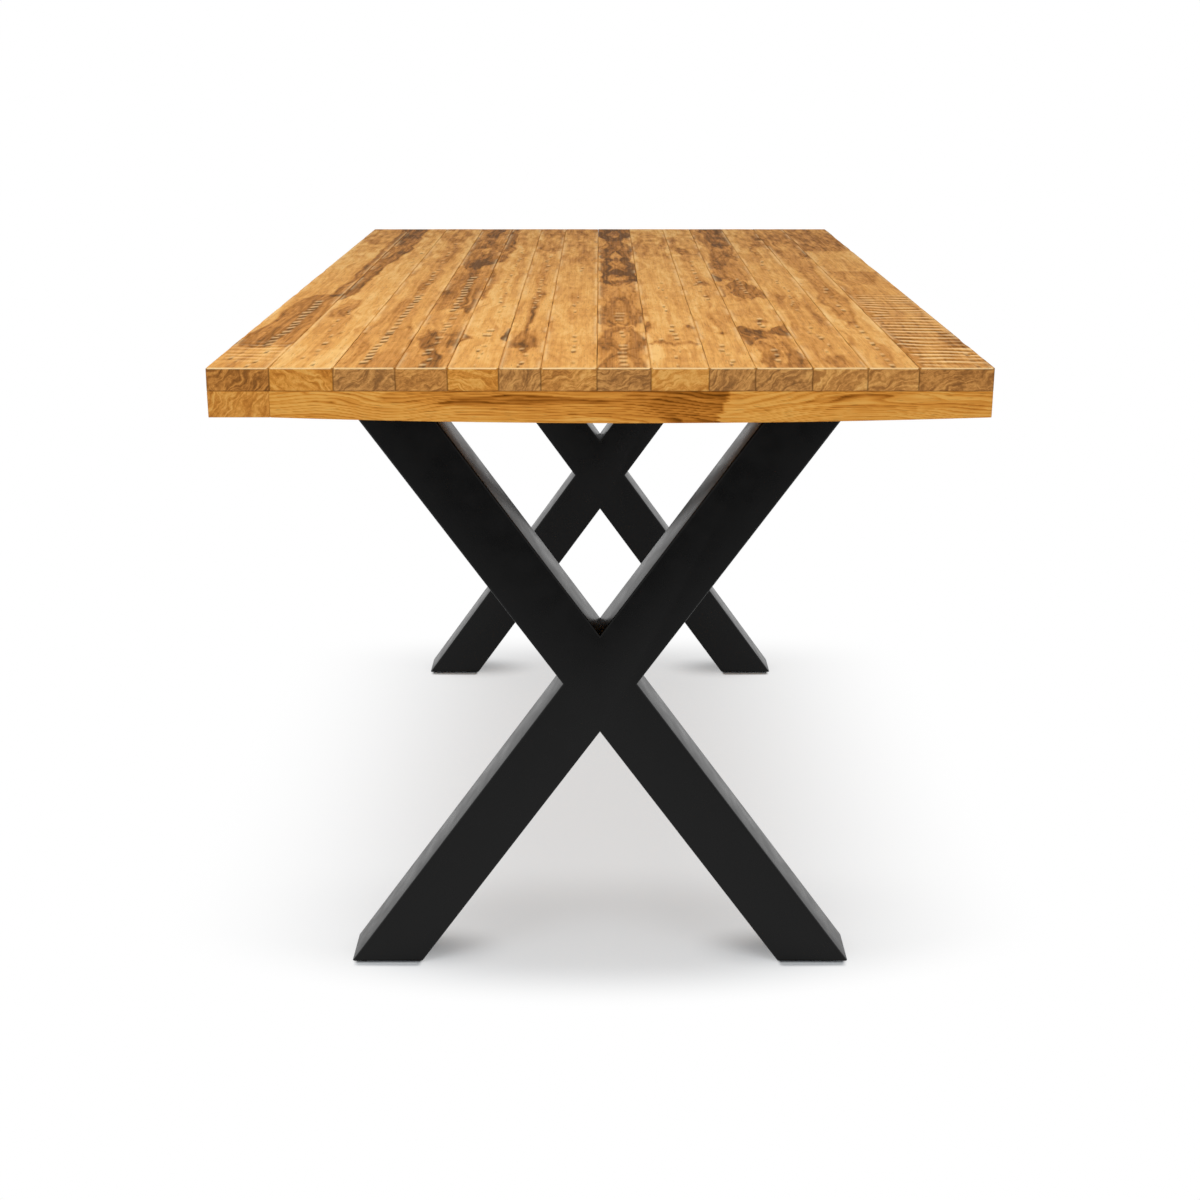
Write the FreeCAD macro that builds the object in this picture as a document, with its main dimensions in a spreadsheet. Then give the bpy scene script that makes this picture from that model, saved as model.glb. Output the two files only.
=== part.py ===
"""Dining table: a stave top on a narrow frame, carried by two crossed frames of square tube.

Millimetres. X runs across the table, Y along it and Z up. The origin is on the floor, under
the middle of the top. The front end of the table is at -Y, and its left side at -X.
"""
import FreeCAD, Part
import os
import Sketcher
from FreeCAD import Placement, Rotation, Vector

SIZES = {
    # Stave top
    "table_length": 1400,
    "table_height": 760,
    "stave_thickness": 24,
    "stave_ease": 1,
    "stave_01_width": 64,
    "stave_02_width": 65,
    "stave_03_width": 63,
    "stave_04_width": 53,
    "stave_05_width": 52,
    "stave_06_width": 43,
    "stave_07_width": 57,
    "stave_08_width": 55,
    "stave_09_width": 59,
    "stave_10_width": 47,
    "stave_11_width": 58,
    "stave_12_width": 56,
    "stave_13_width": 52,
    "stave_14_width": 76,
    # Frame of rails glued under the edge of the top, and the cross bearers inside it
    "rail_width": 63,
    "rail_depth": 27,
    "end_rail_belly": 6,
    "bearer_width": 100,
    "bearer_depth": 27,
    # Countersunk screws that hold the staves to the bearers
    "screw_diameter": 4.5,
    "screw_head_diameter": 9,
    "screw_length": 42,
    "screw_tip_length": 5,
    "screw_drive_width": 3,
    "screw_drive_depth": 2,
    "screw_hole_spare": 1,
    "screw_clearance": 0.1,
    # Crossed legs of square tube
    "leg_inset": 148,
    "tube_size": 70,
    "tube_wall": 2,
    "tube_corner": 3,
    "foot_centres": 520,
    "arm_centres": 491.5,
    "foot_gap": 2.5,
    # Mounting plate on each pair of legs
    "plate_ledge": 10,
    "plate_thickness": 5,
    "plate_corner": 6,
    "weld_leg": 4,
    "slot_travel": 8,
    "bolt_hole_clearance": 0.5,
    # Bolts, washers and threaded inserts that hold the plates to the bearers
    "bolt_arm_gap": 20,
    "bolt_row_spacing": 56,
    "bolt_diameter": 8,
    "bolt_length": 22,
    "bolt_head_diameter": 14,
    "bolt_head_height": 4.4,
    "bolt_head_round": 2,
    "bolt_socket_width": 5,
    "bolt_socket_depth": 2.6,
    "washer_diameter": 18,
    "washer_thickness": 1.6,
    "insert_diameter": 12,
    "insert_length": 18,
    "thread_clearance": 0.05,
    # Foot plates, weld nuts and levelling glides
    "foot_plate_recess": 8,
    "foot_plate_thickness": 5,
    "foot_plate_clearance": 0.2,
    "stem_hole_clearance": 0.5,
    "weld_nut_width": 17,
    "weld_nut_height": 8,
    "stem_diameter": 10,
    "stem_length": 28,
    "stem_point": 1,
    "collar_width": 14,
    "collar_height": 4,
    "spigot_diameter": 8,
    "spigot_length": 4,
    "glide_diameter": 50,
    "glide_edge": 1.2,
    # How far cuts run past the faces that they open
    "overrun": 20,
}

STAVES = [f"stave_{number:02d}" for number in range(1, 15)]
SCREWED_STAVES = STAVES[1:-1]

# The part of a tube's corner round that the ground weld beside it fills
WELD_FILL_SHARE = 0.8

# Sizes that follow from the driving sizes
DERIVED = {
    "table_width": " + ".join(f"Sizes.{stave}_width" for stave in STAVES),
    "half_width": "table_width / 2",
    "half_length": "Sizes.table_length / 2",
    "stave_underside": "Sizes.table_height - Sizes.stave_thickness",
    "rail_underside": "stave_underside - Sizes.rail_depth",
    "bearer_underside": "stave_underside - Sizes.bearer_depth",
    "plate_underside": "bearer_underside - Sizes.plate_thickness",
    "end_rail_length": "table_width - Sizes.rail_width",
    "belly_radius": "(end_rail_length ^ 2 / 4 + Sizes.end_rail_belly ^ 2) / (2 * Sizes.end_rail_belly)",
    "bearer_length": "table_width - 2 * Sizes.rail_width",
    "screw_radius": "Sizes.screw_diameter / 2",
    "screw_head_radius": "Sizes.screw_head_diameter / 2",
    "screw_hole_radius": "screw_radius + Sizes.screw_clearance",
    "pilot_depth": "Sizes.screw_length - Sizes.bearer_depth + Sizes.screw_hole_spare",
    "frame_centre": "half_length - Sizes.leg_inset - Sizes.tube_size / 2",
    "foot_reach": "Sizes.foot_centres / 2",
    "arm_reach": "Sizes.arm_centres / 2",
    "leg_slope": "(foot_reach + arm_reach) / (plate_underside - Sizes.foot_gap)",
    "slant": "sqrt(1 + leg_slope ^ 2)",
    "foot_rise": "foot_reach / leg_slope",
    "arm_rise": "arm_reach / leg_slope",
    "crossing_height": "Sizes.foot_gap + foot_rise",
    "half_cut": "Sizes.tube_size / 2 * slant",
    "half_bore": "Sizes.tube_size / 2 - Sizes.tube_wall",
    "half_bore_cut": "half_bore * slant",
    "crotch_rise": "half_cut / leg_slope",
    "bore_corner": "Sizes.tube_corner - Sizes.tube_wall",
    "joint_length": "sqrt(half_cut ^ 2 + crotch_rise ^ 2)",
    "crossing_weld_length": "joint_length - 4 * Sizes.tube_corner",
    "plate_weld_length": "2 * (half_cut - Sizes.tube_corner * slant - Sizes.weld_leg * leg_slope)",
    "half_plate_length": "arm_reach + half_cut + Sizes.plate_ledge",
    "half_plate_width": "Sizes.tube_size / 2 + Sizes.plate_ledge",
    "bolt_reach": "arm_reach - half_cut - Sizes.bolt_arm_gap",
    "bolt_row": "Sizes.bolt_row_spacing / 2",
    "bolt_hole_radius": "Sizes.bolt_diameter / 2 + Sizes.bolt_hole_clearance",
    "bolt_seat": "plate_underside - Sizes.washer_thickness",
    "thread_radius": "Sizes.bolt_diameter / 2 + Sizes.thread_clearance",
    "foot_plate_underside": "Sizes.foot_gap + Sizes.foot_plate_recess",
    "foot_plate_top": "foot_plate_underside + Sizes.foot_plate_thickness",
    "glide_height": "foot_plate_underside - Sizes.collar_height",
}

doc = FreeCAD.newDocument("crossed_leg_table")


def fill_sheet(name, cells):
    """Writes one named cell to a row: the name, and beside it the cell that takes the name."""
    sheet = doc.addObject("Spreadsheet::Sheet", name)
    for row, (alias, content) in enumerate(cells.items(), start=1):
        sheet.set(f"A{row}", alias)
        sheet.set(f"B{row}", content)
        sheet.setAlias(f"B{row}", alias)
    doc.recompute()
    return sheet


sizes = fill_sheet("Sizes", {alias: str(number) for alias, number in SIZES.items()})
for index, stave_name in enumerate(STAVES):
    before = "".join(f" + Sizes.{other}_width" for other in STAVES[:index])
    DERIVED[f"{stave_name}_centre"] = f"Sizes.{stave_name}_width / 2 - half_width{before}"
fill_sheet("Derived", {alias: "=" + formula for alias, formula in DERIVED.items()})

nodes = []


def value(expression):
    """The number that an expression of named sizes gives."""
    return float(sizes.evalExpression(expression))


def node(item, name):
    """Names a finished sub-part and keeps it for writing out."""
    item.Label = name
    nodes.append(item)
    return item


def place(item, across="0", along="0", up="0"):
    """Sets a sub-part's place from expressions, and leaves its turn as it is."""
    item.setExpression("Placement.Base.x", across)
    item.setExpression("Placement.Base.y", along)
    item.setExpression("Placement.Base.z", up)


def new_body(name):
    return doc.addObject("PartDesign::Body", name + "_body")


def sketch_on(body, role, name, height="0"):
    """An empty sketch on one of the body's own planes, raised along that plane's normal."""
    sketch = body.newObject("Sketcher::SketchObject", name)
    plane = next(item for item in body.Origin.OriginFeatures if item.Role == role)
    sketch.AttachmentSupport = [(plane, "")]
    sketch.MapMode = "FlatFace"
    sketch.setExpression("AttachmentOffset.Base.z", height)
    return sketch


def pin_point(sketch, geometry, point, across, up):
    """Ties a point of the sketch to its distances from the sketch's origin."""
    for kind, expression in (("DistanceX", across), ("DistanceY", up)):
        number = value(expression)
        constraint = sketch.addConstraint(
            Sketcher.Constraint(kind, -1, 1, geometry, point, number))
        sketch.setExpression(f"Constraints[{constraint}]", expression)


def pin_radius(sketch, geometry, radius):
    constraint = sketch.addConstraint(Sketcher.Constraint("Radius", geometry, value(radius)))
    sketch.setExpression(f"Constraints[{constraint}]", radius)


def draw_outline(sketch, corners):
    """A closed outline of straight lines through corners given as pairs of expressions."""
    points = [Vector(value(across), value(up), 0) for across, up in corners]
    first = sketch.GeometryCount
    count = len(points)
    for index in range(count):
        sketch.addGeometry(Part.LineSegment(points[index], points[(index + 1) % count]))
    for index in range(count):
        following = first + (index + 1) % count
        sketch.addConstraint(Sketcher.Constraint("Coincident", first + index, 2, following, 1))
    for index, (across, up) in enumerate(corners):
        pin_point(sketch, first + index, 1, across, up)


def draw_rectangle(sketch, half_across, half_up):
    draw_outline(sketch, [
        (f"-({half_across})", f"-({half_up})"),
        (half_across, f"-({half_up})"),
        (half_across, half_up),
        (f"-({half_across})", half_up),
    ])


def draw_hexagon(sketch, width):
    """A regular hexagon, width across its flats."""
    corner = f"({width}) / sqrt(3)"
    draw_outline(sketch, [
        (corner, "0"),
        (f"{corner} / 2", f"({width}) / 2"),
        (f"-{corner} / 2", f"({width}) / 2"),
        (f"-{corner}", "0"),
        (f"-{corner} / 2", f"-({width}) / 2"),
        (f"{corner} / 2", f"-({width}) / 2"),
    ])


def draw_circle(sketch, radius, across="0", up="0"):
    centre = Vector(value(across), value(up), 0)
    circle = sketch.addGeometry(Part.Circle(centre, Vector(0, 0, 1), value(radius)))
    pin_point(sketch, circle, 3, across, up)
    pin_radius(sketch, circle, radius)


def draw_slot(sketch, radius, half_travel, across, up):
    """A slot with round ends that runs along the sketch's first axis."""
    ends = [f"{across} - {half_travel}", f"{across} + {half_travel}"]
    height = value(up)
    reach = value(radius)
    start, finish = [value(end) for end in ends]
    left_circle = Part.Circle(Vector(start, height, 0), Vector(0, 0, 1), reach)
    right_circle = Part.Circle(Vector(finish, height, 0), Vector(0, 0, 1), reach)
    quarter = value("pi / 2")
    left = sketch.addGeometry(Part.ArcOfCircle(left_circle, quarter, 3 * quarter))
    right = sketch.addGeometry(Part.ArcOfCircle(right_circle, -quarter, quarter))
    low = sketch.addGeometry(Part.LineSegment(
        Vector(start, height - reach, 0), Vector(finish, height - reach, 0)))
    high = sketch.addGeometry(Part.LineSegment(
        Vector(finish, height + reach, 0), Vector(start, height + reach, 0)))
    for arc, end, line, line_end in (
            (left, 2, low, 1), (right, 1, low, 2), (right, 2, high, 1), (left, 1, high, 2)):
        sketch.addConstraint(Sketcher.Constraint("Tangent", arc, end, line, line_end))
    pin_point(sketch, left, 3, ends[0], up)
    pin_point(sketch, right, 3, ends[1], up)
    sketch.addConstraint(Sketcher.Constraint("Equal", left, right))
    pin_radius(sketch, left, radius)


def pad(body, sketch, length, midplane=False, downward=False):
    feature = body.newObject("PartDesign::Pad", sketch.Name + "_pad")
    feature.Profile = sketch
    feature.Midplane = midplane
    feature.Reversed = downward
    feature.setExpression("Length", length)
    doc.recompute()
    return feature


def pocket(body, sketch, depth, midplane=False, upward=False):
    """Cuts the sketch's outline out of the body, and makes sure that the cut took something."""
    before = body.Shape.Volume
    feature = body.newObject("PartDesign::Pocket", sketch.Name + "_pocket")
    feature.Profile = sketch
    feature.Midplane = midplane
    feature.Reversed = upward
    feature.setExpression("Length", depth)
    doc.recompute()
    if feature.Shape.Volume >= before:
        raise RuntimeError(f"{sketch.Name} cuts nothing")
    return feature


def edges_where(feature, test):
    """Names of the feature's edges that pass the test."""
    return [f"Edge{number}" for number, edge in enumerate(feature.Shape.Edges, start=1) if test(edge)]


def fillet(body, feature, edges, radius):
    item = body.newObject("PartDesign::Fillet", feature.Name + "_fillet")
    item.Base = (feature, edges)
    item.setExpression("Radius", radius)
    doc.recompute()
    return item


def chamfer(body, feature, edges, size):
    item = body.newObject("PartDesign::Chamfer", feature.Name + "_chamfer")
    item.Base = (feature, edges)
    item.setExpression("Size", size)
    doc.recompute()
    return item


def lies_at(height):
    """A test for edges that lie flat at one height."""
    return lambda edge: all(abs(vertex.Z - height) < edge.Length * 1e-6 for vertex in edge.Vertexes)


def runs_upright(edge):
    """A test for straight edges that don't lie flat."""
    ends = [vertex.Z for vertex in edge.Vertexes]
    return len(ends) == 2 and abs(ends[0] - ends[1]) > edge.Length * 1e-6


def copies(master, name, places):
    """One node of separate pieces: the master, repeated at each place."""
    links = []
    for number, (across, along, up) in enumerate(places, start=1):
        link = doc.addObject("App::Link", f"{name}_{number:02d}")
        link.setLink(master)
        place(link, across, along, up)
        links.append(link)
    group = doc.addObject("Part::Compound", name + "_group")
    group.Links = links
    return node(group, name)


# Each leg frame is drawn in the plane of its own middle, and stands at one of these places
FRAME_ENDS = {"front": "-Derived.frame_centre", "rear": "Derived.frame_centre"}


def make_stave(name):
    """A solid wood stave, eased round its upper edges, with pilot holes over the bearers."""
    body = new_body(name)
    outline = sketch_on(body, "XY_Plane", name + "_outline")
    draw_rectangle(outline, f"Sizes.{name}_width / 2", "Derived.half_length")
    board = pad(body, outline, "Sizes.stave_thickness")
    top_edges = edges_where(board, lies_at(value("Sizes.stave_thickness")))
    chamfer(body, board, top_edges, "Sizes.stave_ease")
    if name in SCREWED_STAVES:
        holes = sketch_on(body, "XY_Plane", name + "_pilot_holes")
        for along in ("-Derived.frame_centre", "0", "Derived.frame_centre"):
            draw_circle(holes, "Derived.screw_hole_radius", "0", along)
        pocket(body, holes, "Derived.pilot_depth", upward=True)
    place(body, f"Derived.{name}_centre", "0", "Derived.stave_underside")
    node(body, name)


def make_side_rail(name, side):
    """A straight rail under one long edge. It meets one end rail's end and one's inner face."""
    rail = doc.addObject("Part::Box", name + "_box")
    rail.setExpression("Length", "Sizes.rail_width")
    rail.setExpression("Width", "Sizes.table_length - Sizes.rail_width")
    rail.setExpression("Height", "Sizes.rail_depth")
    if side == "left":
        place(rail, "-Derived.half_width", "-Derived.half_length", "Derived.rail_underside")
    else:
        place(rail, "Derived.half_width - Sizes.rail_width",
              "Sizes.rail_width - Derived.half_length", "Derived.rail_underside")
    node(rail, name)


def make_end_rail(name, end):
    """A rail under one end, with a lower edge that bellies down between its corners."""
    body = new_body(name)
    outline = sketch_on(body, "XZ_Plane", name + "_outline")
    half = "Derived.end_rail_length / 2"
    reach = value(half)
    depth = value("Sizes.rail_depth")
    low = Vector(0, -value("Sizes.end_rail_belly"), 0)
    belly = outline.addGeometry(Part.Arc(Vector(-reach, 0, 0), low, Vector(reach, 0, 0)))
    right = outline.addGeometry(Part.LineSegment(Vector(reach, 0, 0), Vector(reach, depth, 0)))
    top = outline.addGeometry(Part.LineSegment(Vector(reach, depth, 0), Vector(-reach, depth, 0)))
    left = outline.addGeometry(Part.LineSegment(Vector(-reach, depth, 0), Vector(-reach, 0, 0)))
    for first, end_point, second, start_point in (
            (belly, 2, right, 1), (right, 2, top, 1), (top, 2, left, 1), (left, 2, belly, 1)):
        outline.addConstraint(
            Sketcher.Constraint("Coincident", first, end_point, second, start_point))
    pin_point(outline, right, 1, half, "0")
    pin_point(outline, top, 1, half, "Sizes.rail_depth")
    pin_point(outline, left, 1, f"-{half}", "Sizes.rail_depth")
    pin_point(outline, left, 2, f"-{half}", "0")
    pin_radius(outline, belly, "Derived.belly_radius")
    pad(body, outline, "Sizes.rail_width", midplane=True)
    side = "" if end == "front" else "-"
    place(body, f"{side}Sizes.rail_width / 2",
          f"-({side}(Derived.half_length - Sizes.rail_width / 2))", "Derived.rail_underside")
    node(body, name)


def bolt_places(up):
    """Places of a plate's bolts, in the plane of its own frame, at one height."""
    columns = ("-Derived.bolt_reach", "0", "Derived.bolt_reach")
    rows = ("-Derived.bolt_row", "Derived.bolt_row")
    return [(across, along, up) for across in columns for along in rows]


def make_bearer(name, along, bolted):
    """A cross bearer with countersunk screw holes and, over a leg frame, holes for inserts."""
    body = new_body(name)
    outline = sketch_on(body, "XY_Plane", name + "_outline")
    draw_rectangle(outline, "Derived.bearer_length / 2", "Sizes.bearer_width / 2")
    pad(body, outline, "Sizes.bearer_depth")
    holes = sketch_on(body, "XY_Plane", name + "_screw_holes")
    for stave in SCREWED_STAVES:
        draw_circle(holes, "Derived.screw_hole_radius", f"Derived.{stave}_centre", "0")
    drilled = pocket(body, holes, "Sizes.bearer_depth", upward=True)
    rims = edges_where(drilled, lambda edge: edge.Curve.TypeId == "Part::GeomCircle"
                       and abs(edge.Vertexes[0].Z) < edge.Length * 1e-6)
    chamfer(body, drilled, rims, "Derived.screw_head_radius - Derived.screw_radius")
    if bolted:
        seats = sketch_on(body, "XY_Plane", name + "_insert_holes")
        for across, row, _ in bolt_places("0"):
            draw_circle(seats, "Sizes.insert_diameter / 2", across, row)
        pocket(body, seats, "Sizes.insert_length", upward=True)
    place(body, "0", along, "Derived.bearer_underside")
    node(body, name)


def make_bearer_screws(name, bearers):
    """Countersunk wood screws, one in each screwed stave at each bearer, points up."""
    body = new_body("bearer_screw")
    profile = sketch_on(body, "XZ_Plane", "bearer_screw_profile")
    draw_outline(profile, [
        ("0", "0"),
        ("Derived.screw_head_radius", "0"),
        ("Derived.screw_radius", "Derived.screw_head_radius - Derived.screw_radius"),
        ("Derived.screw_radius", "Sizes.screw_length - Sizes.screw_tip_length"),
        ("0", "Sizes.screw_length"),
    ])
    turned = body.newObject("PartDesign::Revolution", "bearer_screw_turned")
    turned.Profile = profile
    turned.ReferenceAxis = (profile, ["V_Axis"])
    turned.Angle = 360
    doc.recompute()
    drive = sketch_on(body, "XY_Plane", "bearer_screw_drive")
    draw_hexagon(drive, "Sizes.screw_drive_width")
    pocket(body, drive, "Sizes.screw_drive_depth", upward=True)
    copies(body, name, [
        (f"Derived.{stave}_centre", along, "Derived.bearer_underside")
        for along in bearers.values()
        for stave in SCREWED_STAVES
    ])


def cross_outline(side, rise_from, rise_to, half):
    """Corners of a leg that slopes through the crossing, up towards one side (+ or -)."""
    return [
        (f"{side}({rise_from}) * Derived.leg_slope - {half}", f"Derived.crossing_height + {rise_from}"),
        (f"{side}({rise_from}) * Derived.leg_slope + {half}", f"Derived.crossing_height + {rise_from}"),
        (f"{side}({rise_to}) * Derived.leg_slope + {half}", f"Derived.crossing_height + {rise_to}"),
        (f"{side}({rise_to}) * Derived.leg_slope - {half}", f"Derived.crossing_height + {rise_to}"),
    ]


def make_tube(name, end, side, corners):
    """A square tube, rounded along its four edges and open at both ends, cut to the corners."""
    body = new_body(name)
    outline = sketch_on(body, "XZ_Plane", name + "_outline")
    draw_outline(outline, corners)
    bar = pad(body, outline, "Sizes.tube_size", midplane=True)
    slope = value("Derived.leg_slope") * (1 if side == "+" else -1)
    direction = Vector(slope, 0, 1).normalize()

    def runs_along(edge):
        run = edge.Vertexes[-1].Point - edge.Vertexes[0].Point
        return run.cross(direction).Length < edge.Length * 1e-6

    fillet(body, bar, edges_where(bar, runs_along), "Sizes.tube_corner")
    bore = sketch_on(body, "XZ_Plane", name + "_bore")
    draw_outline(bore, cross_outline(
        side, "-(Derived.foot_rise + Sizes.overrun)", "(Derived.arm_rise + Sizes.overrun)",
        "Derived.half_bore_cut"))
    pocket(body, bore, "2 * Derived.half_bore", midplane=True)
    place(body, along=FRAME_ENDS[end])
    node(body, name)


def make_crossed_tubes(end):
    """One tube runs right through the crossing. Two shorter ones meet its sides."""
    crossing = "Derived.crossing_height"
    make_tube(f"{end}_long_tube", end, "+", cross_outline(
        "+", "-Derived.foot_rise", "Derived.arm_rise", "Derived.half_cut"))
    make_tube(f"{end}_upper_tube", end, "-", [
        ("-Derived.half_cut", crossing),
        ("0", f"{crossing} + Derived.crotch_rise"),
        ("Derived.half_cut - Derived.arm_reach", "Derived.plate_underside"),
        ("-Derived.half_cut - Derived.arm_reach", "Derived.plate_underside"),
    ])
    make_tube(f"{end}_lower_tube", end, "-", [
        ("Derived.half_cut", crossing),
        ("0", f"{crossing} - Derived.crotch_rise"),
        ("Derived.foot_reach - Derived.half_cut", "Sizes.foot_gap"),
        ("Derived.foot_reach + Derived.half_cut", "Sizes.foot_gap"),
    ])


def make_weld_strip(name, face):
    """A weld ground flush with one face of the frame, in the groove beside the long tube."""
    reach = f"{WELD_FILL_SHARE} * Sizes.tube_corner"
    bar = doc.addObject("Part::Box", name + "_bar")
    bar.setExpression("Length", reach)
    bar.setExpression("Width", reach)
    bar.setExpression("Height", "Derived.crossing_weld_length")
    edge = "-Sizes.tube_size / 2" if face == "front" else f"Sizes.tube_size / 2 - {reach}"
    place(bar, "0", edge, "-Derived.crossing_weld_length / 2")
    corner = doc.addObject("Part::Cylinder", name + "_corner")
    corner.setExpression("Radius", "Sizes.tube_corner")
    corner.setExpression("Height", "Derived.crossing_weld_length")
    inset = "(Sizes.tube_size / 2 - Sizes.tube_corner)"
    sign = "-" if face == "front" else ""
    place(corner, "Sizes.tube_corner", sign + inset, "-Derived.crossing_weld_length / 2")
    strip = doc.addObject("Part::Cut", name)
    strip.Base = bar
    strip.Tool = corner
    return strip


def make_crossing_welds(end):
    """Welds in the front and rear grooves, above the long tube and below it."""
    strips = [make_weld_strip(f"{end}_crossing_{face}_weld", face) for face in ("front", "rear")]
    links = []
    for level, sign, turn in (("upper", "-", "0"), ("lower", "", "180")):
        for strip in strips:
            link = doc.addObject("App::Link", f"{strip.Name}_{level}")
            link.setLink(strip)
            link.Placement = Placement(Vector(), Rotation(Vector(0, 1, 0), 1))
            link.setExpression("Placement.Rotation.Angle", f"atan(Derived.leg_slope) + {turn} deg")
            up = "Derived.crossing_height + " if level == "upper" else "Derived.crossing_height - "
            place(link, f"{sign}Derived.half_cut / 2", "0", f"{up}Derived.crotch_rise / 2")
            links.append(link)
    group = doc.addObject("Part::Compound", f"{end}_crossing_welds_group")
    group.Links = links
    place(group, along=FRAME_ENDS[end])
    node(group, f"{end}_crossing_welds")


def make_mounting_plate(end):
    """A flat plate across the tops of a frame's arms, slotted at its ends so the top can move."""
    name = f"{end}_mounting_plate"
    body = new_body(name)
    outline = sketch_on(body, "XY_Plane", name + "_outline")
    draw_rectangle(outline, "Derived.half_plate_length", "Derived.half_plate_width")
    flat = pad(body, outline, "Sizes.plate_thickness")
    fillet(body, flat, edges_where(flat, runs_upright), "Sizes.plate_corner")
    holes = sketch_on(body, "XY_Plane", name + "_holes")
    for across, row, _ in bolt_places("0"):
        if across == "0":
            draw_circle(holes, "Derived.bolt_hole_radius", across, row)
        else:
            draw_slot(holes, "Derived.bolt_hole_radius", "Sizes.slot_travel / 2", across, row)
    pocket(body, holes, "Sizes.plate_thickness", upward=True)
    place(body, along=FRAME_ENDS[end], up="Derived.plate_underside")
    node(body, name)


def make_plate_welds(end):
    """Fillet welds along the front and rear of each arm, where it meets the plate."""
    links = []
    for face, sign in (("front", "-"), ("rear", "")):
        body = new_body(f"{end}_plate_{face}_weld")
        section = sketch_on(body, "YZ_Plane", f"{end}_plate_{face}_weld_section")
        draw_outline(section, [
            (f"{sign}Sizes.tube_size / 2", "0"),
            (f"{sign}(Sizes.tube_size / 2 + Sizes.weld_leg)", "0"),
            (f"{sign}Sizes.tube_size / 2", "-Sizes.weld_leg"),
        ])
        pad(body, section, "Derived.plate_weld_length", midplane=True)
        for arm, side in (("left", "-"), ("right", "")):
            link = doc.addObject("App::Link", f"{end}_plate_{face}_{arm}_weld")
            link.setLink(body)
            place(link, f"{side}Derived.arm_reach", "0", "Derived.plate_underside")
            links.append(link)
    group = doc.addObject("Part::Compound", f"{end}_plate_welds_group")
    group.Links = links
    place(group, along=FRAME_ENDS[end])
    node(group, f"{end}_plate_welds")


def make_bolt_master():
    """A button-head bolt with a hexagon socket. Its shank points up from the head's flat."""
    body = new_body("plate_bolt")
    head = sketch_on(body, "XY_Plane", "plate_bolt_head")
    draw_circle(head, "Sizes.bolt_head_diameter / 2")
    button = pad(body, head, "Sizes.bolt_head_height", downward=True)
    rim = edges_where(button, lambda edge: edge.Curve.TypeId == "Part::GeomCircle"
                      and edge.Vertexes[0].Z < -edge.Length * 1e-6)
    fillet(body, button, rim, "Sizes.bolt_head_round")
    shank = sketch_on(body, "XY_Plane", "plate_bolt_shank")
    draw_circle(shank, "Sizes.bolt_diameter / 2")
    pad(body, shank, "Sizes.bolt_length")
    socket = sketch_on(body, "XY_Plane", "plate_bolt_socket", "-Sizes.bolt_head_height")
    draw_hexagon(socket, "Sizes.bolt_socket_width")
    pocket(body, socket, "Sizes.bolt_socket_depth", upward=True)
    return body


def make_ring_master(name, outer, inner, height):
    body = new_body(name)
    section = sketch_on(body, "XY_Plane", name + "_section")
    draw_circle(section, outer)
    draw_circle(section, inner)
    pad(body, section, height)
    return body


def make_nut_master():
    """A plain hexagon nut that is welded to a foot plate."""
    body = new_body("foot_weld_nut")
    outline = sketch_on(body, "XY_Plane", "foot_weld_nut_outline")
    draw_hexagon(outline, "Sizes.weld_nut_width")
    draw_circle(outline, "Sizes.stem_diameter / 2 + Sizes.thread_clearance")
    pad(body, outline, "Sizes.weld_nut_height")
    return body


def at_end(places, end):
    """Moves places in a leg frame's own plane to that end of the table."""
    along = FRAME_ENDS[end]
    return [(across, f"{along} + {row}", up) for across, row, up in places]


def make_foot_plate(foot, end, across, slope):
    """A plate welded inside the foot of a tube, set up from its end, with the stem's hole."""
    name = f"{foot}_foot_plate"
    body = new_body(name)
    half = "(Derived.half_bore_cut - Sizes.foot_plate_clearance)"
    low = f"{slope}Derived.leg_slope * Sizes.foot_plate_recess"
    high = f"{slope}Derived.leg_slope * (Sizes.foot_plate_recess + Sizes.foot_plate_thickness)"
    outline = sketch_on(body, "XZ_Plane", name + "_outline")
    draw_outline(outline, [
        (f"{low} - {half}", "0"),
        (f"{low} + {half}", "0"),
        (f"{high} + {half}", "Sizes.foot_plate_thickness"),
        (f"{high} - {half}", "Sizes.foot_plate_thickness"),
    ])
    slab = pad(body, outline, "2 * (Derived.half_bore - Sizes.foot_plate_clearance)", midplane=True)
    fillet(body, slab, edges_where(slab, runs_upright), "Derived.bore_corner")
    hole = sketch_on(body, "XY_Plane", name + "_stem_hole")
    draw_circle(hole, "Sizes.stem_diameter / 2 + Sizes.stem_hole_clearance")
    pocket(body, hole, "Sizes.foot_plate_thickness", upward=True)
    place(body, across, FRAME_ENDS[end], "Derived.foot_plate_underside")
    node(body, name)


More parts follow.
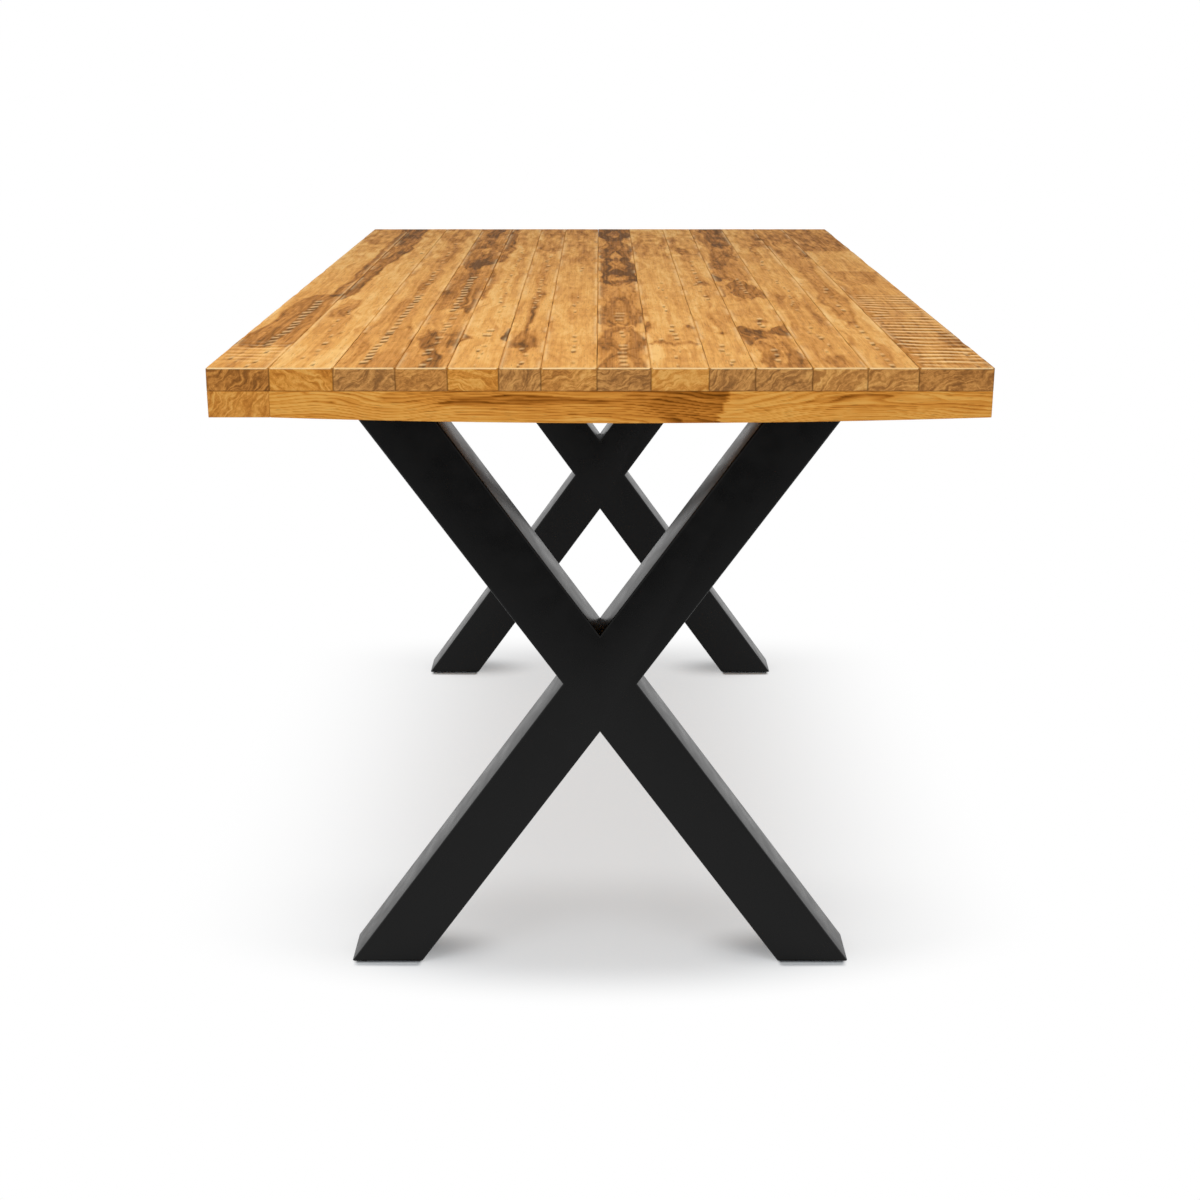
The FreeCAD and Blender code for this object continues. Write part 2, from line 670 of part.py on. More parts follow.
def make_glide(foot, end, across):
    """A levelling glide: a moulded base, and a stem that turns in it and screws into the nut."""
    base_name = f"{foot}_glide_base"
    base = new_body(base_name)
    disc = sketch_on(base, "XY_Plane", base_name + "_disc")
    draw_circle(disc, "Sizes.glide_diameter / 2")
    puck = pad(base, disc, "Derived.glide_height")
    rims = edges_where(puck, lambda edge: len(edge.Vertexes) == 1)
    fillet(base, puck, rims, "Sizes.glide_edge")
    seat = sketch_on(base, "XY_Plane", base_name + "_seat", "Derived.glide_height")
    draw_circle(seat, "Sizes.spigot_diameter / 2 + Sizes.thread_clearance")
    pocket(base, seat, "Sizes.spigot_length")
    place(base, across, FRAME_ENDS[end], "0")
    node(base, base_name)

    stem_name = f"{foot}_glide_stem"
    stem = new_body(stem_name)
    collar = sketch_on(stem, "XY_Plane", stem_name + "_collar")
    draw_hexagon(collar, "Sizes.collar_width")
    pad(stem, collar, "Sizes.collar_height")
    spigot = sketch_on(stem, "XY_Plane", stem_name + "_spigot")
    draw_circle(spigot, "Sizes.spigot_diameter / 2")
    pad(stem, spigot, "Sizes.spigot_length", downward=True)
    screw = sketch_on(stem, "XY_Plane", stem_name + "_screw", "Sizes.collar_height")
    draw_circle(screw, "Sizes.stem_diameter / 2")
    rod = pad(stem, screw, "Sizes.stem_length")
    chamfer(stem, rod, edges_where(rod, lies_at(value("Sizes.collar_height + Sizes.stem_length"))),
            "Sizes.stem_point")
    place(stem, across, FRAME_ENDS[end], "Derived.glide_height")
    node(stem, stem_name)


# The top and what lies under it
for stave_name in STAVES:
    make_stave(stave_name)
make_side_rail("left_side_rail", "left")
make_side_rail("right_side_rail", "right")
make_end_rail("front_end_rail", "front")
make_end_rail("rear_end_rail", "rear")
BEARERS = {
    "front_bearer": FRAME_ENDS["front"],
    "middle_bearer": "0",
    "rear_bearer": FRAME_ENDS["rear"],
}
for bearer_name, bearer_along in BEARERS.items():
    make_bearer(bearer_name, bearer_along, bolted=bearer_name != "middle_bearer")
make_bearer_screws("bearer_screws", BEARERS)

# The two leg frames and their fastenings
bolt_master = make_bolt_master()
washer_master = make_ring_master(
    "plate_washer", "Sizes.washer_diameter / 2", "Derived.bolt_hole_radius", "Sizes.washer_thickness")
insert_master = make_ring_master(
    "plate_insert", "Sizes.insert_diameter / 2", "Derived.thread_radius", "Sizes.insert_length")
nut_master = make_nut_master()
for frame_end in FRAME_ENDS:
    make_crossed_tubes(frame_end)
    make_crossing_welds(frame_end)
    make_mounting_plate(frame_end)
    make_plate_welds(frame_end)
    copies(bolt_master, f"{frame_end}_plate_bolts", at_end(bolt_places("Derived.bolt_seat"), frame_end))
    copies(washer_master, f"{frame_end}_plate_washers", at_end(bolt_places("Derived.bolt_seat"), frame_end))
    copies(insert_master, f"{frame_end}_plate_inserts",
           at_end(bolt_places("Derived.bearer_underside"), frame_end))
    foot_places = [(f"{side}Derived.foot_reach", "0", "Derived.foot_plate_top") for side in ("-", "")]
    copies(nut_master, f"{frame_end}_weld_nuts", at_end(foot_places, frame_end))

# The feet. A leg leans in towards the middle as it rises.
for frame_end in FRAME_ENDS:
    for hand, side, lean in (("left", "-", ""), ("right", "", "-")):
        foot_across = f"{side}Derived.foot_reach"
        make_foot_plate(f"{frame_end}_{hand}", frame_end, foot_across, lean)
        make_glide(f"{frame_end}_{hand}", frame_end, foot_across)

doc.recompute()
for item in doc.Objects:
    if "Invalid" in item.State or "Error" in item.State:
        raise RuntimeError(f"{item.Label} did not compute: {item.State}")
for item in nodes:
    if item.Shape.isNull() or not item.Shape.isValid():
        raise RuntimeError(f"{item.Label} has no valid shape")

os.makedirs("parts", exist_ok=True)
for item in nodes:
    item.Shape.exportStep(f"parts/{item.Label}.step")
    print(item.Label, len(item.Shape.Solids), round(item.Shape.Volume))
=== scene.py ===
"""Looks of the crossed-leg dining table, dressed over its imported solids. Metres, Z up."""
import math

import bmesh
import bpy
import numpy as np
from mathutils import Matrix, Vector


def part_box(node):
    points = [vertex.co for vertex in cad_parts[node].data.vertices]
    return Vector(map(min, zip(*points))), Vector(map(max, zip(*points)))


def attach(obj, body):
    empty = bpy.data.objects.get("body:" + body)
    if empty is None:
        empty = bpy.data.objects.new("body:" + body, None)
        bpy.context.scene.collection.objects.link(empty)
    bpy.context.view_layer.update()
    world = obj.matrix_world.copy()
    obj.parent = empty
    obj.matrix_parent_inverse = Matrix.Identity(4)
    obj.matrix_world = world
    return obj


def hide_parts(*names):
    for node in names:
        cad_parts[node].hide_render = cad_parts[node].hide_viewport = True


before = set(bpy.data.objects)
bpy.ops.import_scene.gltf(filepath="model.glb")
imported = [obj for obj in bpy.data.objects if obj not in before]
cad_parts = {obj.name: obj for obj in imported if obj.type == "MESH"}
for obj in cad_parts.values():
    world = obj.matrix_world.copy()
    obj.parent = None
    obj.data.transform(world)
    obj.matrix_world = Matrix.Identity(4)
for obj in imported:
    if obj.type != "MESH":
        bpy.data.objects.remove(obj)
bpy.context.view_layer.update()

TABLE_BODY = "table"


# Colours, and the curve by which a screen turns its numbers into light

SCREEN_FULL = 255
SCREEN_KNEE = 0.04045
SCREEN_SLOPE = 12.92
SCREEN_LIFT = 0.055
SCREEN_POWER = 2.4


def tint(red, green, blue):
    """A colour as it looks on screen, 0 to 255, made into the light that it stands for."""
    light = []
    for part in (red, green, blue):
        share = part / SCREEN_FULL
        if share <= SCREEN_KNEE:
            light.append(share / SCREEN_SLOPE)
        else:
            light.append(((share + SCREEN_LIFT) / (1 + SCREEN_LIFT)) ** SCREEN_POWER)
    return (*light, 1.0)


WHITE = (1.0, 1.0, 1.0, 1.0)
TIMBER_TONES = [
    (0.00, tint(232, 184, 112)),
    (0.22, tint(219, 160, 84)),
    (0.45, tint(194, 132, 62)),
    (0.70, tint(153, 97, 36)),
    (1.00, tint(98, 60, 14)),
]
# Pale colour of the painted highlights behind tool marks, on saw crests and along edges
PAINTED_HIGHLIGHT = tint(246, 214, 158)
TOOL_MARK = tint(62, 38, 20)
EDGE_WARMTH = (1.0, 0.84, 0.54, 1.0)
END_DUST = (0.008, 0.022, 0.024, 1.0)


# Nodes, and the numbers of a Mix node's sockets for values and for colours

MIX_SHARE = 0
BLEND_FIRST, BLEND_SECOND, BLEND_VALUE = 2, 3, 0
MIX_FIRST, MIX_SECOND, MIX_COLOUR = 6, 7, 2


class Nodes:
    """Adds nodes to one tree and joins them as it goes."""

    def __init__(self, tree):
        self.tree = tree

    def add(self, kind, inputs=None, **settings):
        node = self.tree.nodes.new("ShaderNode" + kind)
        for setting, value in settings.items():
            setattr(node, setting, value)
        for socket, value in (inputs or {}).items():
            self.feed(node.inputs[socket], value)
        return node

    def feed(self, socket, value):
        if isinstance(value, bpy.types.NodeSocket):
            self.tree.links.new(value, socket)
        else:
            socket.default_value = value

    def sum(self, operation, first, second=0.0, third=0.0, clamp=False):
        node = self.add("Math", {0: first, 1: second, 2: third}, operation=operation)
        node.use_clamp = clamp
        return node.outputs[0]

    def stretch(self, place, scale):
        node = self.add("VectorMath", {0: place, 1: scale}, operation="MULTIPLY")
        return node.outputs[0]

    def noise(self, place, scale, detail=2.0, roughness=0.5):
        node = self.add("TexNoise", {
            "Vector": self.stretch(place, scale), "Scale": 1.0, "Detail": detail,
            "Roughness": roughness})
        return node.outputs["Fac"]

    def range(self, value, low, high, new_low=0.0, new_high=1.0):
        node = self.add("MapRange", {
            "Value": value, "From Min": low, "From Max": high, "To Min": new_low,
            "To Max": new_high}, interpolation_type="SMOOTHSTEP")
        return node.outputs[0]

    def mix(self, share, first, second, blend="MIX"):
        node = self.add("Mix", data_type="RGBA", blend_type=blend)
        self.feed(node.inputs[MIX_SHARE], share)
        self.feed(node.inputs[MIX_FIRST], first)
        self.feed(node.inputs[MIX_SECOND], second)
        return node.outputs[MIX_COLOUR]

    def blend(self, share, first, second):
        node = self.add("Mix", {MIX_SHARE: share, BLEND_FIRST: first, BLEND_SECOND: second},
                        data_type="FLOAT")
        return node.outputs[BLEND_VALUE]

    def attribute(self, name):
        node = self.add("Attribute", attribute_name=name)
        return node.outputs["Fac"]


def node_group(name, inputs, outputs):
    """An empty shader group with named sockets. Returns it with its two ends."""
    kinds = {"value": "NodeSocketFloat", "vector": "NodeSocketVector", "colour": "NodeSocketColor"}
    group = bpy.data.node_groups.new(name, "ShaderNodeTree")
    for socket, (kind, value) in inputs.items():
        made = group.interface.new_socket(name=socket, in_out="INPUT", socket_type=kinds[kind])
        made.default_value = value
    for socket, kind in outputs.items():
        group.interface.new_socket(name=socket, in_out="OUTPUT", socket_type=kinds[kind])
    nodes = Nodes(group)
    return group, nodes, group.nodes.new("NodeGroupInput"), group.nodes.new("NodeGroupOutput")


# Patterns in the timber, as repeats in a metre across, along and up a board
FIBRES = (520.0, 9.0, 520.0)
PORES = (1150.0, 60.0, 1150.0)
CLOUDS = (34.0, 8.0, 34.0)
END_BENDS = (48.0, 3.0, 48.0)
END_FEATHERS = (34.0, 3.0, 300.0)
END_CURLS = (190.0, 3.0, 260.0)
# How strongly each pattern darkens the timber, and the level at which it leaves it as it is
FIBRE_TONE = 0.30
CLOUD_TONE = 0.34
LONG_LEVEL = 0.32
FEATHER_TONE = 0.58
FEATHER_LEVEL = 0.58
CLOUD_LEVEL = 0.5
PORE_TONE = 0.30
# Where a pattern fades in, and what the sawn ends are made of
PORE_EDGE = (0.60, 0.74)
END_EDGE = (0.32, 0.68)
END_FACING = (0.6, 0.8)
FEATHER_SHARE = 0.62
BEND_LIFT = (0.0, 0.0, 0.030)
# Gloss and relief
FIBRE_EDGE = (0.2, 0.8)
OILED_ROUGHNESS = (0.50, 0.64)
MARK_ROUGHNESS = 0.2
FIBRE_HEIGHT = 0.8
PORE_HEIGHT = -0.7


def timber_colour(nodes, depth):
    """The timber's own colours, from pale honey to dark heartwood."""
    ramp = nodes.add("ValToRGB", {"Fac": depth})
    stops = ramp.color_ramp.elements
    while len(stops) < len(TIMBER_TONES):
        stops.new(0.5)
    for stop, (share, colour) in zip(stops, TIMBER_TONES):
        stop.position = share
        stop.color = colour
    return ramp.outputs["Color"]


def sawn_end(nodes, place, slant):
    """Sawn ends: slanted feathers of growth rings with curls between them."""
    turned = nodes.add("VectorRotate", {"Vector": place, "Angle": slant}, rotation_type="Y_AXIS")
    place = turned.outputs[0]
    bend = nodes.noise(place, END_BENDS)
    bent = nodes.add("VectorMath", {0: bend, 1: BEND_LIFT, 2: place}, operation="MULTIPLY_ADD")
    feather = nodes.noise(bent.outputs[0], END_FEATHERS, detail=3.0, roughness=0.55)
    curl = nodes.noise(place, END_CURLS, detail=3.0, roughness=0.65)
    curl = nodes.sum("MULTIPLY", curl, 1 - FEATHER_SHARE)
    return nodes.range(nodes.sum("MULTIPLY_ADD", feather, FEATHER_SHARE, curl), *END_EDGE)


def timber_group():
    """Oiled hardwood with its grain along Y: fibres, pores and clouds over a depth of tone, sawn
    ends, dark tool marks and pale rims that are painted highlights. Toast makes the warmer colour of the
    edges."""
    group, nodes, given, result = node_group("oiled_timber", {
        "Place": ("vector", (0.0, 0.0, 0.0)), "Facing": ("vector", (0.0, 0.0, 1.0)),
        "Depth": ("value", 0.3), "End Depth": ("value", 0.5), "Slant": ("value", 0.6),
        "Toast": ("value", 0.0), "End Toast": ("value", 0.0), "Mark": ("value", 0.0),
        "Rim": ("value", 0.0)}, {"Colour": "colour", "Roughness": "value", "Height": "value"})
    ask = given.outputs
    place = ask["Place"]
    fibre = nodes.noise(place, FIBRES, detail=4.0, roughness=0.62)
    pores = nodes.range(nodes.noise(place, PORES, detail=1.0), *PORE_EDGE)
    clouds = nodes.noise(place, CLOUDS, detail=5.0, roughness=0.6)
    long_tone = nodes.sum("MULTIPLY_ADD", clouds, CLOUD_TONE, ask["Depth"])
    long_tone = nodes.sum("MULTIPLY_ADD", fibre, FIBRE_TONE, long_tone)
    long_tone = nodes.sum("SUBTRACT", long_tone, LONG_LEVEL)
    feather = nodes.sum("SUBTRACT", sawn_end(nodes, place, ask["Slant"]), FEATHER_LEVEL)
    end_tone = nodes.sum("MULTIPLY_ADD", feather, FEATHER_TONE, ask["End Depth"])
    end_clouds = nodes.sum("SUBTRACT", clouds, CLOUD_LEVEL)
    end_tone = nodes.sum("MULTIPLY_ADD", end_clouds, CLOUD_TONE, end_tone)
    ahead = nodes.add("SeparateXYZ", {0: ask["Facing"]})
    end = nodes.range(nodes.sum("ABSOLUTE", ahead.outputs["Y"]), *END_FACING)
    colour = timber_colour(nodes, nodes.blend(end, long_tone, end_tone))
    toast = nodes.blend(end, ask["Toast"], ask["End Toast"])
    colour = nodes.mix(toast, colour, EDGE_WARMTH, blend="MULTIPLY")
    dusty = nodes.sum("MULTIPLY", end, nodes.sum("SUBTRACT", 1.0, ask["End Toast"]))
    colour = nodes.mix(dusty, colour, END_DUST, blend="ADD")
    colour = nodes.mix(nodes.sum("MULTIPLY", pores, PORE_TONE), colour, TOOL_MARK)
    # Painted highlight: the pale rims behind marks, on saw crests and along edges
    colour = nodes.mix(ask["Rim"], colour, PAINTED_HIGHLIGHT)
    colour = nodes.mix(ask["Mark"], colour, TOOL_MARK)
    rough = nodes.range(fibre, *FIBRE_EDGE, *OILED_ROUGHNESS)
    rough = nodes.sum("MULTIPLY_ADD", ask["Mark"], MARK_ROUGHNESS, rough)
    height = nodes.sum("MULTIPLY", fibre, FIBRE_HEIGHT)
    height = nodes.sum("MULTIPLY_ADD", pores, PORE_HEIGHT, height)
    nodes.feed(result.inputs["Colour"], colour)
    nodes.feed(result.inputs["Roughness"], rough)
    nodes.feed(result.inputs["Height"], height)
    return group


# Speckle: how much coarser its broad part is, and how the two parts add up
BROAD_STEP = 40.0
FINE_SHARE = 0.6
SPECKLE_SHARE = 0.62
BROAD_EDGE = (0.25, 0.75)
GLOSS_SWING = 0.05


def speckle_group():
    """Coated, plated or moulded surfaces: a fine speckle in colour, gloss and height."""
    group, nodes, given, result = node_group("fine_speckle", {
        "Place": ("vector", (0.0, 0.0, 0.0)), "Scale": ("value", 900.0), "Gloss": ("value", 0.4),
        "Dark": ("colour", WHITE), "Light": ("colour", WHITE)},
        {"Colour": "colour", "Roughness": "value", "Height": "value"})
    ask = given.outputs
    fine = nodes.add("TexNoise", {"Vector": ask["Place"], "Scale": ask["Scale"], "Detail": 2.0})
    wide = nodes.sum("DIVIDE", ask["Scale"], BROAD_STEP)
    broad = nodes.add("TexNoise", {"Vector": ask["Place"], "Scale": wide, "Detail": 3.0})
    fine, broad = fine.outputs["Fac"], broad.outputs["Fac"]
    share = nodes.sum("MULTIPLY_ADD", fine, FINE_SHARE, broad)
    share = nodes.sum("MULTIPLY", share, SPECKLE_SHARE, clamp=True)
    change = nodes.range(broad, *BROAD_EDGE, -GLOSS_SWING, GLOSS_SWING)
    nodes.feed(result.inputs["Colour"], nodes.mix(share, ask["Dark"], ask["Light"]))
    nodes.feed(result.inputs["Roughness"], nodes.sum("ADD", ask["Gloss"], change))
    nodes.feed(result.inputs["Height"], fine)
    return group


TIMBER = timber_group()
SPECKLE = speckle_group()
GRAIN_RELIEF = 0.35
GRAIN_DEPTH = 0.0004
OIL_SHINE = 0.02
SPECKLE_DEPTH = 0.0002


def finished(name, group, inputs, relief, depth, **settings):
    """A material that wears one of the finishes over its own place on the object."""
    material = bpy.data.materials.new(name)
    material.use_nodes = True
    nodes = Nodes(material.node_tree)
    shader = material.node_tree.nodes["Principled BSDF"]
    look = nodes.add("Group", node_tree=group)
    for socket, value in inputs(nodes).items():
        nodes.feed(look.inputs[socket], value)
    bump = nodes.add("Bump", {
        "Strength": relief, "Distance": depth, "Height": look.outputs["Height"]})
    nodes.feed(shader.inputs["Base Color"], look.outputs["Colour"])
    nodes.feed(shader.inputs["Roughness"], look.outputs["Roughness"])
    nodes.feed(shader.inputs["Normal"], bump.outputs[0])
    for socket, value in settings.items():
        shader.inputs[socket.replace("_", " ")].default_value = value
    return material


def timber(name, shift, turn=0.0, depth=None, end=0.5, slant=0.6, toast=0.0, end_toast=0.0):
    """Oiled hardwood, moved so that no two boards share a pattern, with its grain turned about Z.
    A dressed board carries its own depth of tone, marks and rims, the rims being painted highlights."""
    def inputs(nodes):
        where = nodes.add("TexCoord").outputs["Object"]
        facing = nodes.add("NewGeometry").outputs["True Normal"]
        about = (0.0, 0.0, turn)
        place = nodes.add("Mapping", {"Vector": where, "Location": shift, "Rotation": about})
        turned = nodes.add("Mapping", {"Vector": facing, "Rotation": about}, vector_type="VECTOR")
        given = {"Place": place.outputs[0], "Facing": turned.outputs[0], "End Depth": end,
                 "Slant": slant, "Toast": toast, "End Toast": end_toast}
        if depth is None:
            for layer in ("Depth", "Mark", "Rim"):
                given[layer] = nodes.attribute(layer.lower())
        else:
            given["Depth"] = depth
        return given

    return finished(name, TIMBER, inputs, GRAIN_RELIEF, GRAIN_DEPTH, Specular_IOR_Level=OIL_SHINE)


def speckled(name, dark, light, gloss, scale, relief, **settings):
    """A coat, plating or moulding between two tones, with its speckle at its own scale."""
    def inputs(nodes):
        where = nodes.add("TexCoord").outputs["Object"]
        return {"Place": where, "Scale": scale, "Gloss": gloss, "Dark": dark, "Light": light}

    return finished(name, SPECKLE, inputs, relief, SPECKLE_DEPTH, **settings)


# Meshes

SOFT_ANGLE = math.radians(40)
PARALLEL = 0.999


def keep(shape, name, material, slot, *nodes):
    """Makes a finished shape a piece of the table, in place of the named solids."""
    for face in shape.faces:
        face.smooth = True
    for edge in shape.edges:
        edge.smooth = edge.calc_face_angle(0.0) < SOFT_ANGLE
    mesh = bpy.data.meshes.new(name)
    shape.to_mesh(mesh)
    shape.free()
    mesh.materials.append(material)
    piece = bpy.data.objects.new(name, mesh)
    bpy.context.scene.collection.objects.link(piece)
    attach(piece, TABLE_BODY)
    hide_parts(*nodes)
    return piece


def runs(edge, axis):
    """True if the edge is parallel to an axis."""
    way = (edge.verts[1].co - edge.verts[0].co).normalized()
    return abs(way[axis]) > PARALLEL


def eased_block(low, high, ease):
    """A block between two corners with every edge rounded over."""
    shape = bmesh.new()
    bmesh.ops.create_cube(shape, size=1.0)
    bmesh.ops.scale(shape, vec=high - low, verts=shape.verts)
    bmesh.ops.translate(shape, vec=(low + high) / 2, verts=shape.verts)
    bmesh.ops.bevel(shape, geom=shape.edges[:], offset=ease, affect="EDGES", segments=2,
                    profile=0.5, material=-1)
    return shape


def cut_rows(shape, axis, pieces, top_only=None):
    """Cuts the edges along an axis into equal pieces, on the whole shape or near its top."""
    edges = [edge for edge in shape.edges if runs(edge, axis)]
    if top_only is not None:
        edges = [edge for edge in edges if min(v.co.z for v in edge.verts) > top_only]
    bmesh.ops.subdivide_edges(shape, edges=edges, cuts=pieces - 1, use_grid_fill=True)


# Dressing a board: depth of tone, tool marks and relief

NOISE_CELLS = 64
MILLIMETRE = 0.001


def step(value):
    """Goes smoothly from 0 to 1."""
    value = np.clip(value, 0.0, 1.0)
    return value * value * (3 - 2 * value)


def rises(value, level, soft):
    """0 up to a level and 1 from a soft width past it."""
    return step((value - level) / soft)


def window(value, low, high, soft):
    """1 between two limits, with soft edges."""
    return step((value - low) / soft + 0.5) * step((high - value) / soft + 0.5)


def bell(offset, width):
    """A smooth hump, 1 in its middle."""
    return np.exp(-(offset / width) ** 2)


def cloud(across, along, cell, seed, start=0):
    """Smooth random heights from 0 to 1 over a plane. A cell is its grid's (width, length), and
    each pattern of a board has a seed of its own."""
    heights = np.random.default_rng(seed).random((NOISE_CELLS, NOISE_CELLS))
    across, along = across / cell[0] + start, along / cell[1]
    column, row = np.floor(across).astype(int), np.floor(along).astype(int)
    aside, onward = step(across - column), step(along - row)
    column, row = column % NOISE_CELLS, row % NOISE_CELLS
    right, ahead = (column + 1) % NOISE_CELLS, (row + 1) % NOISE_CELLS
    near = heights[column, row] * (1 - aside) + heights[right, row] * aside
    far = heights[column, ahead] * (1 - aside) + heights[right, ahead] * aside
    return near * (1 - onward) + far * onward


def swing(across, along, cell, seed, start=0):
    """The same heights about their middle, from -0.5 to 0.5."""
    return cloud(across, along, cell, seed, start) - 0.5


def read_points(mesh):
    points = np.zeros(len(mesh.vertices) * 3)
    mesh.vertices.foreach_get("co", points)
    return points.reshape(-1, 3)


def store(mesh, name, values):
    layer = mesh.attributes.new(name, "FLOAT", "POINT")
    layer.data.foreach_set("value", values.astype(np.float32))


